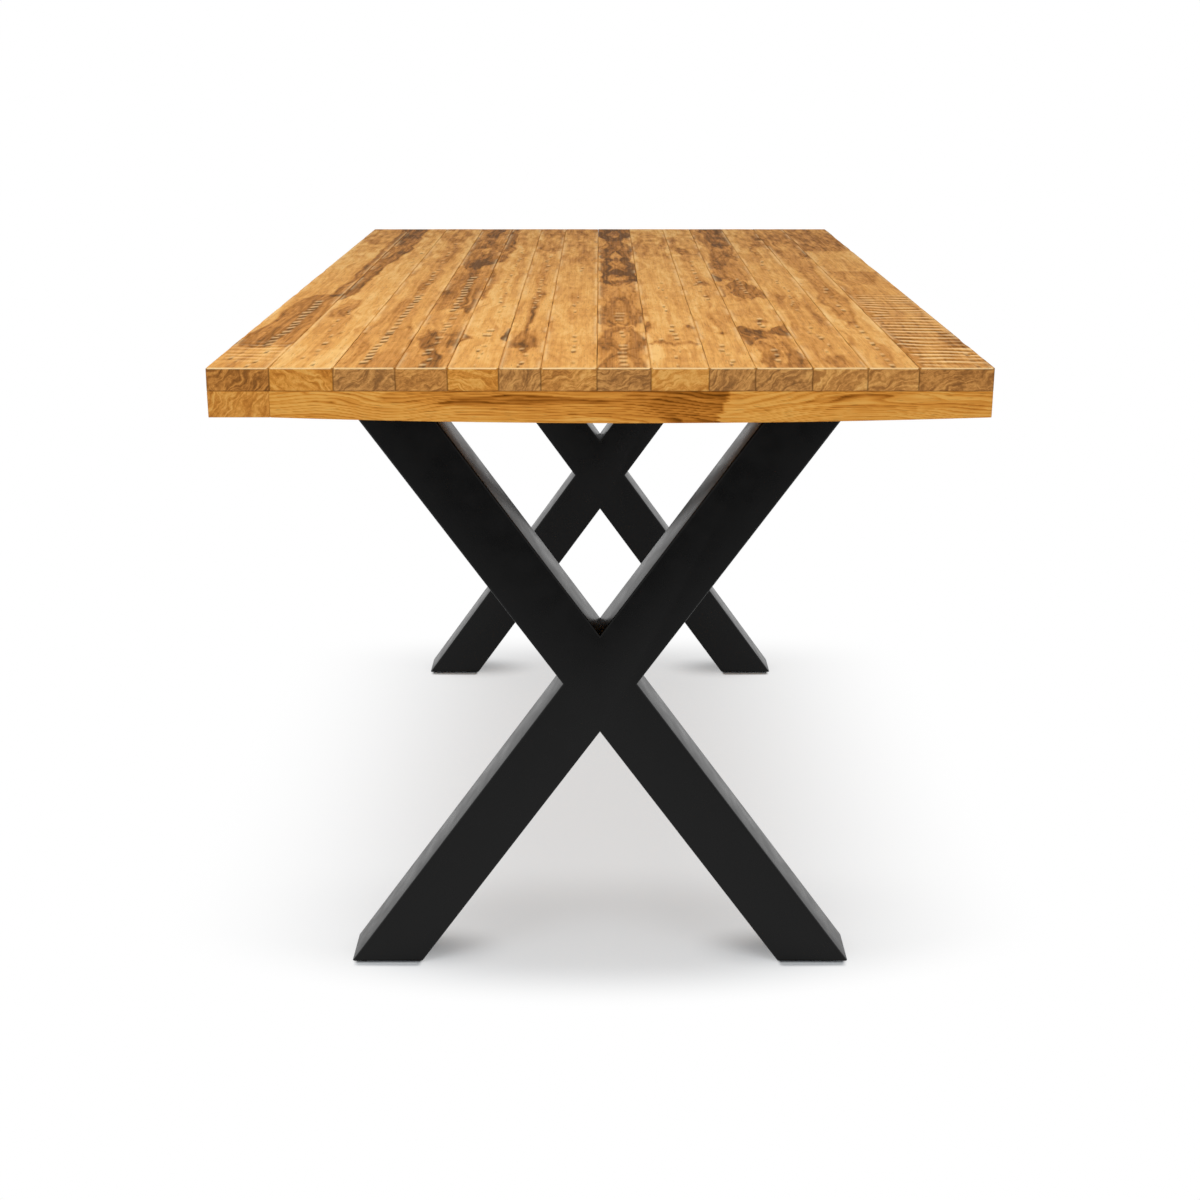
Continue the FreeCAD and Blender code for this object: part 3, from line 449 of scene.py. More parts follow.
# What each stave shows. Tones run from 0, pale, to 1, dark. Places across a stave run from -1
# at its left edge to 1 at its right edge, and places along it are in metres from its middle.
# A shape is (depth, stations), with a station (along, left, right) wherever its outline turns.
# A knot is (across, along, radius in millimetres, depth). A row of tool marks is (across at its
# start, across at its end, start, end, half length and pitch in millimetres, strength). A ladder
# of saw lines is (start, end, left, right, strength). A mirrored stave shows the same figure on
# both sides of its middle, so its shapes run from 0 at the middle to 1 at either edge. End,
# toast and slant are the tone, warmth and turn of the sawn end, lean is the slant of the tool
# marks, and wild says how far the outlines stray.
STAVES = {
    "stave_01": {
        "tone": 0.20, "end": 0.61, "toast": 0.5, "slant": 0.9, "lean": 0.9,
        "shapes": [
            (0.16, [(0.46, -1.5, 1.5), (0.72, -1.5, 1.5)]),
            (0.34, [(-0.17, 0.45, 1.5), (0.0, 0.7, 1.5), (0.35, 0.65, 1.5), (0.72, 0.7, 1.5)]),
            (0.30, [(-0.56, -0.95, 0.9), (-0.50, -0.9, 1.2), (-0.43, -0.65, 1.5), (-0.30, -0.55, 1.5),
                    (-0.20, -0.45, 1.5), (-0.15, -0.1, 1.5)]),
            (0.12, [(-0.55, -0.4, 0.2), (-0.45, -0.2, 0.4), (-0.30, 0.0, 0.55), (-0.20, 0.1, 0.5)]),
            (0.06, [(-0.72, -1.5, 1.5), (-0.55, -1.5, 1.5)])],
        "knots": [(-0.25, 0.29, 5.0, 0.2)],
        "rows": [(0.15, 0.4, -0.56, -0.40, 4.0, 25.5, 0.8), (0.30, 0.35, -0.40, -0.20, 4.2, 25.5, 1.0),
                 (-0.5, -0.4, -0.69, -0.58, 2.2, 35.8, 0.9), (0.3, 0.4, -0.69, -0.58, 2.2, 42.2, 0.9)],
        "ladders": [(-0.66, -0.54, -0.9, 0.9, 0.35)]},
    "stave_02": {
        "tone": 0.22, "end": 0.36, "toast": 0.9, "slant": -0.5, "lean": 0.6,
        "shapes": [
            (0.40, [(-0.20, -1.5, -0.9), (-0.17, -1.5, -0.55), (-0.08, -1.5, -0.5), (0.0, -1.5, -0.46),
                    (0.17, -1.5, -0.38), (0.24, -1.5, -0.2), (0.33, -1.5, 0.05), (0.72, -1.5, 0.0)]),
            (0.20, [(0.55, -1.5, -0.05), (0.72, -1.5, -0.02)]),
            (0.22, [(-0.35, -0.7, -0.2), (-0.28, -0.7, 0.1), (-0.2, -0.5, -0.1)]),
            (0.10, [(-0.62, -0.2, 0.3), (-0.52, -0.1, 0.4), (-0.42, -0.4, 0.1), (-0.25, -0.3, 0.1)]),
            (-0.07, [(-0.72, -1.5, 1.5), (-0.62, -1.5, 1.5), (-0.5, 0.2, 1.5)])],
        "knots": [(-0.75, -0.07, 6.0, 0.2), (-0.3, 0.33, 7.0, 0.3)],
        "rows": [(-0.2, -0.1, -0.46, -0.25, 2.0, 34.8, 0.8), (0.1, 0.15, -0.62, -0.47, 2.2, 34.8, 0.9),
                 (-0.55, -0.2, -0.69, -0.64, 2.0, 37.0, 1.0), (0.25, 0.3, -0.68, -0.62, 2.0, 41.6, 0.9),
                 (0.62, 0.66, 0.2, 0.50, 1.8, 41.6, 0.7)]},
    "stave_03": {
        "tone": 0.27, "end": 0.56, "toast": 0.0, "slant": 0.5, "lean": 0.9,
        "shapes": [
            (0.14, [(-0.72, -1.5, 1.5), (-0.55, -1.5, 1.2), (-0.40, -0.8, 0.6), (-0.2, -0.3, 0.3)]),
            (0.14, [(-0.1, -0.2, 0.3), (0.3, -0.2, 0.4), (0.5, -0.3, 0.5), (0.72, -0.3, 0.6)]),
            (0.12, [(0.5, -1.5, -0.3), (0.72, -1.5, -0.2)])],
        "knots": [(1.0, -0.13, 7.0, 0.3)],
        "rows": [(-0.1, 0.05, -0.67, -0.47, 3.3, 25.5, 1.0), (0.05, 0.15, -0.47, -0.16, 3.5, 26.6, 1.0),
                 (0.1, 0.05, -0.16, 0.04, 2.6, 32.4, 0.7), (0.05, 0.15, 0.04, 0.46, 2.2, 39.2, 0.7)]},
    "stave_04": {
        "tone": 0.32, "end": 0.52, "toast": 0.3, "slant": 0.35, "lean": 0.7, "wild": 1.5,
        "shapes": [
            (0.22, [(0.10, -0.3, 0.2), (0.16, -0.9, 0.5), (0.22, -1.5, 1.5), (0.72, -1.5, 1.5)]),
            (0.16, [(0.14, 0.1, 0.5), (0.20, -0.3, 0.9), (0.30, -0.2, 0.6), (0.40, -0.3, 0.5),
                    (0.50, -0.35, 0.4), (0.60, -0.3, 0.35), (0.72, -0.1, 0.3)]),
            (-0.28, [(0.32, -0.05, 0.15), (0.36, -0.2, 0.3), (0.40, -0.1, 0.2)]),
            (0.18, [(-0.295, -1.5, 1.5), (0.16, -1.5, 1.5), (0.24, -0.4, 0.4)]),
            (0.14, [(-0.29, -0.1, 0.3), (-0.1, 0.0, 0.4), (0.1, -0.2, 0.3), (0.2, -0.3, 0.2)]),
            (0.24, [(-0.305, 0.4, 0.9), (-0.27, 0.5, 0.85), (-0.20, 0.65, 0.9)]),
            (0.27, [(-0.72, -0.4, 0.7), (-0.68, -0.2, 0.6), (-0.64, 0.1, 0.5), (-0.60, -0.1, 0.35),
                    (-0.55, -0.4, 0.1), (-0.50, -0.7, -0.2), (-0.46, -0.75, -0.45)]),
            (0.14, [(-0.72, -1.5, 1.5), (-0.60, -1.2, 1.2), (-0.48, -0.5, 0.8)]),
            (0.24, [(-0.58, 0.7, 1.0), (-0.55, 0.55, 1.3), (-0.50, 0.4, 1.3), (-0.47, 0.45, 1.2),
                    (-0.455, 0.6, 1.0)])],
        "knots": [(-1.0, -0.13, 9.0, 0.4), (0.2, 0.24, 7.0, 0.2), (0.75, -0.51, 5.0, -0.3),
                  (0.1, -0.59, 6.0, -0.25)],
        "rows": [(0.05, 0.1, -0.30, 0.02, 3.7, 26.6, 1.0), (0.1, 0.2, -0.55, -0.33, 3.3, 30.0, 0.6),
                 (0.0, 0.1, -0.69, -0.58, 3.3, 30.0, 0.7)]},
    "stave_05": {
        "tone": 0.25, "end": 0.33, "toast": 0.9, "slant": -0.3, "lean": 0.1,
        "shapes": [
            (0.30, [(0.20, -1.5, -0.55), (0.30, -1.5, -0.4), (0.42, -1.5, -0.35), (0.55, -1.5, -0.5),
                    (0.72, -1.5, -0.45)]),
            (0.24, [(-0.20, -0.95, -0.8), (-0.10, -0.95, -0.65), (0.05, -1.0, -0.75), (0.12, -1.2, -0.9)]),
            (0.34, [(-0.54, -1.3, -0.85), (-0.52, -1.3, -0.6), (-0.49, -1.3, -0.75), (-0.47, -1.3, -1.0)]),
            (0.10, [(0.45, -1.5, 1.5), (0.72, -1.5, 1.5)]),
            (0.06, [(-0.05, -0.6, 1.5), (0.1, -1.5, 1.5), (0.25, -0.5, 1.5)]),
            (0.55, [(-0.525, 0.95, 1.2), (-0.505, 0.7, 1.2), (-0.48, 0.88, 1.2), (-0.44, 0.95, 1.1)])],
        "knots": [(0.95, -0.505, 6.0, 0.5)],
        "rows": [(0.15, 0.1, -0.31, 0.05, 1.8, 39.2, 0.8), (0.15, 0.15, -0.492, -0.452, 7.7, 37.5, 1.0),
                 (0.0, 0.05, -0.69, -0.55, 1.9, 32.5, 0.7), (0.2, 0.2, 0.1, 0.45, 1.8, 37.5, 0.7)]},
    "stave_06": {
        "tone": 0.26, "end": 0.59, "toast": 0.0, "slant": 1.2, "lean": 0.2,
        "shapes": [
            (0.16, [(0.36, -0.6, 0.9), (0.45, -0.8, 1.0), (0.6, -0.7, 0.9), (0.72, -1.5, 1.5)]),
            (0.12, [(-0.4, -0.2, 0.2), (-0.2, -0.3, 0.3), (0.0, -0.2, 0.3), (0.3, -0.3, 0.4)]),
            (0.22, [(-0.60, -0.2, 0.1), (-0.57, -0.7, 0.5), (-0.53, -0.75, 0.6), (-0.49, -0.4, 0.3),
                    (-0.45, -0.15, 0.05)]),
            (0.07, [(-0.72, -1.5, 1.5), (-0.58, -1.5, 1.5), (-0.45, -1.0, 1.0)]),
            (0.35, [(-0.45, -0.08, 0.04), (-0.36, 0.0, 0.12), (-0.30, 0.05, 0.2), (-0.25, 0.1, 0.18)])],
        "knots": [(-0.1, -0.555, 7.0, 0.5), (0.05, -0.15, 5.0, 0.4), (0.1, 0.38, 6.0, 0.3)],
        "rows": [(0.0, 0.1, -0.28, 0.0, 2.4, 30.0, 0.8), (-0.1, 0.0, -0.69, -0.58, 2.2, 32.4, 0.8),
                 (0.1, 0.15, 0.1, 0.3, 2.2, 39.0, 0.6)]},
    "stave_07": {
        "tone": 0.29, "end": 0.46, "toast": 0.4, "slant": 0.4, "lean": 0.1,
        "shapes": [
            (0.10, [(0.35, -0.3, 0.3), (0.5, -0.2, 0.4), (0.72, -0.3, 0.3)]),
            (0.06, [(0.2, -1.5, 1.5), (0.72, -1.5, 1.5)])],
        "rows": [(0.05, 0.1, -0.31, -0.16, 1.9, 34.8, 0.8), (0.1, 0.1, -0.60, -0.48, 2.0, 30.0, 0.9),
                 (0.1, 0.1, -0.67, -0.63, 1.9, 34.8, 0.7), (0.05, 0.1, 0.1, 0.24, 1.8, 41.6, 0.6)]},
    "stave_08": {
        "tone": 0.30, "end": 0.59, "toast": 0.0, "slant": 0.2, "lean": 0.0, "wild": 1.5, "mirrored": True,
        "shapes": [
            (0.34, [(0.235, 0.25, 0.7), (0.26, 0.38, 0.9), (0.30, 0.3, 1.08), (0.34, 0.1, 1.0),
                    (0.38, -0.2, 1.05), (0.43, -0.2, 1.0), (0.46, -0.2, 0.8), (0.49, -0.2, 0.5),
                    (0.53, -0.2, 0.62), (0.55, 0.0, 0.9), (0.57, 0.3, 1.2), (0.62, 0.5, 1.2),
                    (0.66, 0.3, 1.2), (0.72, 0.1, 1.2)]),
            (0.17, [(0.5, -0.2, 0.9), (0.72, -0.2, 1.2)]),
            (0.11, [(0.22, -0.2, 0.5), (0.28, -0.2, 0.75), (0.40, -0.2, 0.6)]),
            (0.20, [(-0.06, -0.2, 0.4), (-0.03, -0.2, 0.9), (0.04, -0.2, 0.85), (0.12, -0.2, 1.1),
                    (0.20, -0.2, 1.0), (0.26, -0.2, 0.7)]),
            (0.26, [(-0.04, 0.85, 1.2), (-0.02, 0.6, 1.15), (0.01, 0.42, 0.95), (0.04, 0.5, 0.85),
                    (0.07, 0.3, 0.95), (0.10, 0.5, 1.15), (0.14, 0.4, 1.2), (0.17, 0.62, 1.05),
                    (0.21, 0.4, 0.85), (0.24, 0.2, 0.6)]),
            (0.30, [(-0.035, -0.2, 0.7), (-0.02, -0.2, 0.9), (-0.005, -0.2, 0.5)]),
            (0.26, [(0.05, -0.2, 0.2), (0.09, -0.2, 0.35), (0.13, -0.2, 0.15)]),
            (0.14, [(0.05, -0.2, 0.5), (0.11, -0.2, 0.7), (0.18, -0.2, 0.6)]),
            (0.12, [(0.60, -0.2, 0.5), (0.65, -0.2, 0.4), (0.72, -0.2, 0.3)]),
            (0.17, [(-0.42, -0.2, 0.5), (-0.40, 0.1, 0.58), (-0.38, 0.3, 0.85), (-0.36, 0.35, 1.08),
                    (-0.33, 0.3, 0.92), (-0.28, 0.2, 0.66), (-0.22, 0.1, 0.55), (-0.17, -0.2, 0.3)]),
            (0.14, [(-0.42, -0.2, 0.6), (-0.36, -0.2, 1.0), (-0.20, -0.2, 0.75), (-0.12, -0.2, 0.9),
                    (-0.03, -0.2, 1.1)]),
            (0.19, [(-0.72, 0.3, 1.1), (-0.68, 0.35, 0.9), (-0.64, 0.28, 0.68), (-0.60, 0.25, 0.66),
                    (-0.56, 0.3, 0.86), (-0.53, 0.38, 1.08), (-0.50, 0.4, 1.0), (-0.46, 0.3, 0.76),
                    (-0.43, -0.2, 0.5)]),
            (0.11, [(-0.72, -0.2, 1.0), (-0.62, -0.2, 0.6), (-0.52, -0.2, 1.0), (-0.43, -0.2, 0.5)])],
        "knots": [(0.0, 0.036, 6.0, 0.45)],
        "rows": [(0.0, 0.0, -0.69, -0.55, 4.0, 24.0, 0.45), (0.0, 0.0, -0.50, -0.45, 2.2, 27.8, 0.8),
                 (0.0, 0.0, -0.38, -0.33, 5.0, 27.8, 0.3)]},
    "stave_09": {
        "tone": 0.24, "end": 0.26, "toast": 0.7, "slant": 0.3, "lean": 0.0,
        "shapes": [
            (0.14, [(0.28, -1.0, 0.8), (0.4, -1.5, 0.9), (0.6, -0.3, 1.0)]),
            (0.30, [(-0.465, -0.95, -0.8), (-0.43, -0.95, -0.65), (-0.40, -0.95, -0.75),
                    (-0.385, -1.0, -0.9)]),
            (0.30, [(-0.455, 0.85, 1.0), (-0.44, 0.65, 0.95), (-0.42, 0.6, 0.75)]),
            (0.26, [(-0.555, -0.9, 0.9), (-0.545, -1.1, 1.1), (-0.535, -0.8, 0.6)]),
            (-0.10, [(-0.65, -0.95, -0.6), (-0.61, -0.95, -0.5), (-0.57, -0.95, -0.7)]),
            (0.14, [(-0.35, -1.0, -0.8), (-0.20, -1.0, -0.7), (0.0, -1.0, -0.85)])],
        "rows": [(0.1, 0.05, -0.49, -0.40, 2.4, 27.8, 1.0), (0.1, 0.1, -0.11, 0.0, 1.9, 34.8, 0.8),
                 (-0.4, 0.35, -0.525, -0.515, 2.2, 7.5, 0.8), (0.0, 0.05, -0.69, -0.58, 1.8, 32.5, 0.5),
                 (0.05, 0.05, -0.30, -0.18, 1.6, 68.8, 0.8)]},
    "stave_10": {
        "tone": 0.26, "end": 0.56, "toast": 0.0, "slant": 0.8, "lean": 0.2,
        "shapes": [
            (0.16, [(-0.06, -0.3, 0.5), (0.05, -0.3, 0.3), (0.2, -0.2, 0.3), (0.4, -0.4, 0.3)]),
            (0.10, [(0.3, -1.5, 1.5), (0.55, -1.5, 1.5)]),
            (0.18, [(-0.49, 0.0, 0.1), (-0.40, 0.0, 0.08), (-0.3, 0.02, 0.1), (-0.2, 0.05, 0.2),
                    (-0.17, 0.0, 0.2)])],
        "knots": [(0.05, -0.475, 5.0, 0.5), (0.15, -0.17, 6.0, 0.3), (0.15, -0.03, 7.0, 0.25)],
        "rows": [(0.05, 0.15, -0.2, 0.22, 2.4, 32.4, 0.8), (0.0, 0.05, -0.68, -0.54, 2.4, 32.4, 0.8)]},
    "stave_11": {
        "tone": 0.32, "end": 0.58, "toast": 0.0, "slant": 0.6, "lean": 0.2, "wild": 1.7,
        "shapes": [
            (0.24, [(0.42, 0.4, 1.5), (0.48, -0.2, 1.5), (0.55, -0.3, 1.5), (0.72, -0.6, 1.5)]),
            (0.10, [(0.40, -0.4, 1.5), (0.48, -1.5, 1.5), (0.72, -1.5, 1.5)]),
            (0.16, [(0.12, -0.6, -0.2), (0.18, -0.7, 0.3), (0.28, -0.5, 0.8), (0.38, -0.2, 0.9),
                    (0.45, 0.0, 0.4)]),
            (0.14, [(-0.02, -1.0, 0.9), (0.1, -0.6, 1.0), (0.2, -0.6, 1.0), (0.3, 0.2, 0.8)]),
            (0.26, [(-0.03, -1.2, -0.7), (0.0, -1.2, -0.35), (0.04, -1.2, -0.5), (0.08, -1.2, -0.9)]),
            (0.30, [(-0.19, 0.5, 1.2), (-0.17, -0.3, 1.1), (-0.14, -0.6, 1.1), (-0.11, -0.35, 0.9),
                    (-0.07, -0.7, 0.6), (-0.03, -0.2, 0.3)]),
            (0.14, [(-0.18, -1.1, -0.7), (-0.12, -1.1, -0.3), (-0.08, -1.1, -0.8)]),
            (0.10, [(-0.42, -0.2, 0.2), (-0.30, -0.35, 0.25), (-0.22, -0.2, 0.2), (-0.18, -0.6, 0.6)]),
            (0.34, [(-0.545, -1.0, -0.8), (-0.51, -1.1, -0.3), (-0.48, -1.1, -0.1), (-0.455, -0.9, 0.1),
                    (-0.43, -0.6, -0.2)]),
            (0.34, [(-0.49, 0.6, 1.0), (-0.465, 0.3, 1.1), (-0.45, 0.4, 1.2), (-0.43, 0.8, 1.2)]),
            (0.11, [(-0.72, -0.9, 1.2), (-0.60, -0.3, 1.2), (-0.53, -0.6, 0.8), (-0.44, -0.9, 0.9)]),
            (0.22, [(-0.72, -0.8, -0.4), (-0.66, -0.8, -0.3), (-0.60, -0.5, 0.0), (-0.54, -0.8, -0.4)]),
            (0.20, [(-0.70, 0.1, 0.7), (-0.64, 0.3, 0.9), (-0.58, 0.1, 0.6), (-0.52, 0.3, 0.5)])],
        "knots": [(0.05, -0.387, 6.0, 0.5), (-0.55, -0.50, 5.0, -0.4), (0.1, -0.60, 5.0, -0.3)],
        "rows": [(0.15, 0.2, -0.14, 0.02, 2.2, 30.0, 0.7), (-0.05, 0.05, -0.66, -0.58, 2.9, 27.8, 0.9),
                 (0.05, 0.1, -0.43, -0.36, 2.4, 30.0, 0.8)]},
    "stave_12": {
        "tone": 0.27, "end": 0.40, "toast": 0.2, "slant": 0.7, "lean": 0.2,
        "shapes": [
            (0.14, [(-0.42, 0.6, 1.2), (-0.28, 0.5, 1.2), (-0.14, 0.6, 1.2)]),
            (0.08, [(-0.58, -0.9, 0.4), (-0.45, -0.8, 0.9), (-0.30, -0.5, 0.7), (-0.15, -0.6, 0.2)]),
            (0.10, [(-0.24, -0.6, -0.3), (-0.18, -0.5, -0.2), (-0.14, -0.8, -0.5)]),
            (0.20, [(-0.70, -0.2, 0.5), (-0.66, -0.4, 0.4), (-0.62, -0.1, 0.3)]),
            (0.12, [(0.40, -0.6, 1.2), (0.55, -0.5, 1.2), (0.72, 0.0, 1.2)]),
            (0.08, [(0.1, -0.2, 0.2), (0.3, -0.2, 0.2), (0.45, -0.3, 0.2)])],
        "knots": [(0.8, 0.53, 9.0, 0.45), (-0.2, 0.60, 7.0, 0.2)],
        "rows": [(-0.05, 0.1, -0.30, 0.0, 1.9, 32.5, 0.7), (-0.05, 0.0, -0.60, -0.39, 2.2, 34.8, 0.9),
                 (0.0, 0.0, 0.1, 0.42, 1.8, 40.6, 0.6)]},
    "stave_13": {
        "tone": 0.22, "end": 0.47, "toast": 0.2, "slant": 0.4, "lean": 0.2,
        "shapes": [
            (0.19, [(-0.41, -0.1, 0.25), (-0.38, -0.2, 0.3), (-0.33, -0.35, 0.4), (-0.27, -0.5, 0.5),
                    (-0.23, -0.65, 0.7), (-0.18, -0.75, 0.75), (-0.14, -0.5, 0.5), (0.0, -0.4, 0.4),
                    (0.09, -0.4, 0.4), (0.17, -0.55, 0.7), (0.25, -0.75, 1.0), (0.30, -1.1, 1.3),
                    (0.72, -1.5, 1.5)]),
            (0.08, [(0.24, -0.6, 0.9), (0.40, -0.9, 0.9), (0.48, -1.5, 1.2), (0.58, -1.0, 0.8)]),
            (0.12, [(-0.69, -0.3, 0.2), (-0.58, -0.5, 0.3), (-0.47, -0.5, 0.3), (-0.40, -0.3, 0.3)]),
            (0.20, [(-0.555, -1.1, -0.8), (-0.53, -0.9, -0.7), (-0.49, -0.75, -0.6),
                    (-0.45, -0.9, -0.75)])],
        "knots": [(0.05, -0.395, 5.0, 0.45)],
        "rows": [(0.1, 0.1, -0.30, -0.08, 2.4, 34.8, 0.7), (0.0, 0.05, -0.69, -0.43, 2.2, 30.0, 0.8)]},
    "stave_14": {
        "tone": 0.25, "end": 0.59, "toast": 0.2, "slant": 0.3, "lean": 0.05, "wild": 0.6,
        "shapes": [
            (0.24, [(0.350, -1.5, 1.5), (0.72, -1.5, 1.5)]),
            (0.08, [(-0.16, -1.5, 1.5), (0.093, -1.5, 1.5)]),
            (0.14, [(-0.72, -1.5, 1.5), (-0.155, -1.5, 1.5)]),
            (0.16, [(-0.57, -1.5, -0.75), (-0.35, -1.5, -0.75)]),
            (0.22, [(-0.58, 0.5, 1.0), (-0.52, 0.45, 1.0), (-0.46, 0.6, 1.0)]),
            (0.12, [(-0.06, -0.6, 0.4), (0.03, -0.8, 0.7), (0.09, -0.9, 1.2)])],
        "knots": [(-0.2, -0.42, 4.0, 0.3), (0.5, 0.20, 6.0, 0.15)],
        "rows": [(0.6, 0.7, -0.69, -0.62, 2.4, 27.8, 0.7)],
        "ladders": [(-0.685, -0.42, -0.85, 0.95, 0.85), (-0.43, -0.16, -0.8, 1.0, 0.7)]},
}
# Sizes of a stave's mesh: rounded edges, and rows and columns fine enough for the cuts
EASE = 0.0006
ROW_LENGTH = 0.002
COLUMN_WIDTH = 0.0017
SEAM_BAND = 0.0010

# Random patterns on a board, as the (width, length) of their cells in metres. Where a pattern
# runs one way only, its cell is 1 the other way.
BEND_CELL = (0.028, 0.075)
CURL_CELL = (0.012, 0.030)
DRIFT_CELL = (0.010, 0.14)
FRAY_CELL = (0.004, 0.05)
RING_CELL = (0.04, 0.20)
STREAK_CELL = (0.006, 0.15)
MOTTLE_CELL = (0.014, 0.050)
BLOT_CELL = (0.020, 0.080)
FLECK_CELL = (0.0024, 0.014)
GLINT_CELL = (0.0028, 0.018)
PLAIN_CELL = (0.03, 0.45)
SAW_BEND_CELL = (0.035, 0.05)
SAW_PATCH_CELL = (0.02, 0.022)
SAW_RAG_CELL = (1.0, 0.008)
WEAR_AND_HIGHLIGHT_CELL = (1.0, 0.045)
ARRIS_CELL = (0.02, 1.0)
RISE_CELL = (0.023, 0.09)
CHATTER_CELL = (0.031, 0.018)
BACK_CELL = (0.006, 0.035)
SWELL_CELL = (0.02, 0.08)

# Outlines of the shapes: their soft edge, and the darker line just inside it
OUTLINE_SOFT = 0.006
OUTLINE_END_SOFT = 0.016
OUTLINE_LINE = 0.4
OUTLINE_LINE_INSET = 0.001
OUTLINE_LINE_WIDTH = 0.0024

# How far bends and curls carry each part of the figure across, and drift and fray along
OUTLINE_SWAY = (0.008, 0.004)
OUTLINE_FRAY = (0.024, 0.016)
GROWTH_SWAY = (0.020, 0.005)
STREAK_SWAY = (0.014, 0.004)
MOTTLE_SWAY = (0.010, 0.007)
MOTTLE_DRIFT = 0.05
BLOT_DRIFT = 0.08

# Growth lines and knots
RING_WIDTH = 0.0085
RING_DRIFT = 1.6
FLOW_BLUR = 0.02
LATE_EDGE = (0.45, 0.45)
LATE_FALL = 0.10
LATE_LEVEL = 0.3
KNOT_LENGTH = 1.8
KNOT_FALL = 1.1
KNOT_RINGS = 5
KNOT_RING_TONE = 0.3

# How much each part of the figure adds to the depth of tone, and where it sets in
FIGURE_STRENGTH = 1.15
LINE_TONE = 0.09
HEART_LINE_TONE = 0.10
HEART_LINE_EDGE = (0.35, 0.4)
BLOT_TONE = 0.06
BLOT_EDGE = (0.50, 0.12)
BLOT_LEVEL = 0.4
FLECK_TONE = 0.09
FLECK_EDGE = (0.66, 0.2)
HEART_FLECK_TONE = 0.08
HEART_FLECK_EDGE = (0.3, 0.3)
GLINT_TONE = 0.08
GLINT_EDGE = (0.68, 0.2)
STREAK_TONE = 0.24
MOTTLE_TONE = 0.11
FRAY_TONE = 0.06
PLAIN_TONE = 0.06
PLAIN_SWING = 0.30


def sway(place, first, second, reach):
    """Carries a place along by two random patterns."""
    return place + (reach[0] * first + reach[1] * second)


def shape_depth(across, along, stations, half, fine):
    """How far each place lies inside an outline, from 0 to 1, with a darker line along it."""
    places, lefts, rights = zip(*stations)
    left = np.interp(along, places, lefts) * half
    right = np.interp(along, places, rights) * half
    inside = np.minimum(across - left, right - across)
    ends = window(along, places[0], places[-1], OUTLINE_END_SOFT * fine)
    line = OUTLINE_LINE * bell(inside - OUTLINE_LINE_INSET, OUTLINE_LINE_WIDTH)
    return (step(inside / OUTLINE_SOFT + 0.5) + line) * ends


def knot_depth(across, along, radius):
    """A long dark spot with faint rings round it."""
    near = np.hypot(across / radius, along / (KNOT_LENGTH * radius))
    rings = np.cos(KNOT_RINGS * near) * np.exp(-near)
    return np.exp(-KNOT_FALL * near ** 2) + KNOT_RING_TONE * rings


def grain_path(side, along, half, look):
    """How far each place lies from the path that the growth lines follow."""
    if "flow" not in look:
        return side
    places, heights = zip(*look["flow"])
    paths = [np.interp(along + shift, places, heights) for shift in (-FLOW_BLUR, 0.0, FLOW_BLUR)]
    return side - np.mean(paths, axis=0) * half


def late_wood(grain, across, along, bend, curl, seed):
    """The dark part of each growth line, which sets in slowly and stops short."""
    growth = sway(grain, bend, curl, GROWTH_SWAY) / RING_WIDTH
    growth = growth + RING_DRIFT * cloud(across, along, RING_CELL, seed)
    growth = growth - np.floor(growth)
    return rises(growth, *LATE_EDGE) * step((1 - growth) / LATE_FALL)


def figure(across, along, half, look, seed):
    """Depth of tone over a board, from its shapes, knots, growth lines and streaks."""
    fine = look.get("fine", 1.0)
    across, half = across / fine, half / fine
    side = np.abs(across) if look.get("mirrored") else across
    bend = swing(across, along, BEND_CELL, seed, start=9)
    curl = swing(across, along, CURL_CELL, seed + 1)
    drift = swing(across, along, DRIFT_CELL, seed + 2)
    fray = swing(across, along, FRAY_CELL, seed + 3)
    wild = look.get("wild", 1.0)
    bent = sway(side, wild * bend, wild * curl, OUTLINE_SWAY)
    frayed = sway(along, wild * fine * drift, wild * fine * fray, OUTLINE_FRAY)
    depth = np.full(len(across), look["tone"])
    for share, stations in look["shapes"]:
        depth += FIGURE_STRENGTH * share * shape_depth(bent, frayed, stations, half, fine)
    for middle, place, radius, share in look.get("knots", []):
        depth += share * knot_depth(bent - middle * half, along - place, radius * MILLIMETRE)
    grain = grain_path(side, along, half, look)
    late = late_wood(grain, across, along, bend, curl, seed + 4)
    waved = sway(across, bend, curl, MOTTLE_SWAY)
    streaks = swing(sway(grain, bend, curl, STREAK_SWAY), along, STREAK_CELL, seed + 5)
    mottle = swing(waved, along + MOTTLE_DRIFT * drift, MOTTLE_CELL, seed + 6)
    blot = rises(cloud(waved, along + BLOT_DRIFT * drift, BLOT_CELL, seed + 7), *BLOT_EDGE)
    lines = look.get("lines", LINE_TONE) + HEART_LINE_TONE * rises(depth, *HEART_LINE_EDGE)
    depth += lines * (late - LATE_LEVEL) + BLOT_TONE * (blot - BLOT_LEVEL)
    fleck = rises(cloud(across, along, FLECK_CELL, seed + 8), *FLECK_EDGE)
    glint = rises(cloud(across, along, GLINT_CELL, seed + 9), *GLINT_EDGE)
    flecks = FLECK_TONE + HEART_FLECK_TONE * rises(depth, *HEART_FLECK_EDGE)
    depth += flecks * fleck - GLINT_TONE * glint
    return depth + STREAK_TONE * streaks + MOTTLE_TONE * mottle + FRAY_TONE * fray


def plain_side(across, along, look, seed):
    """Depth of tone on a board's sides and underside, which change only slowly along it."""
    return look["tone"] + PLAIN_TONE + PLAIN_SWING * swing(across, along, PLAIN_CELL, seed)
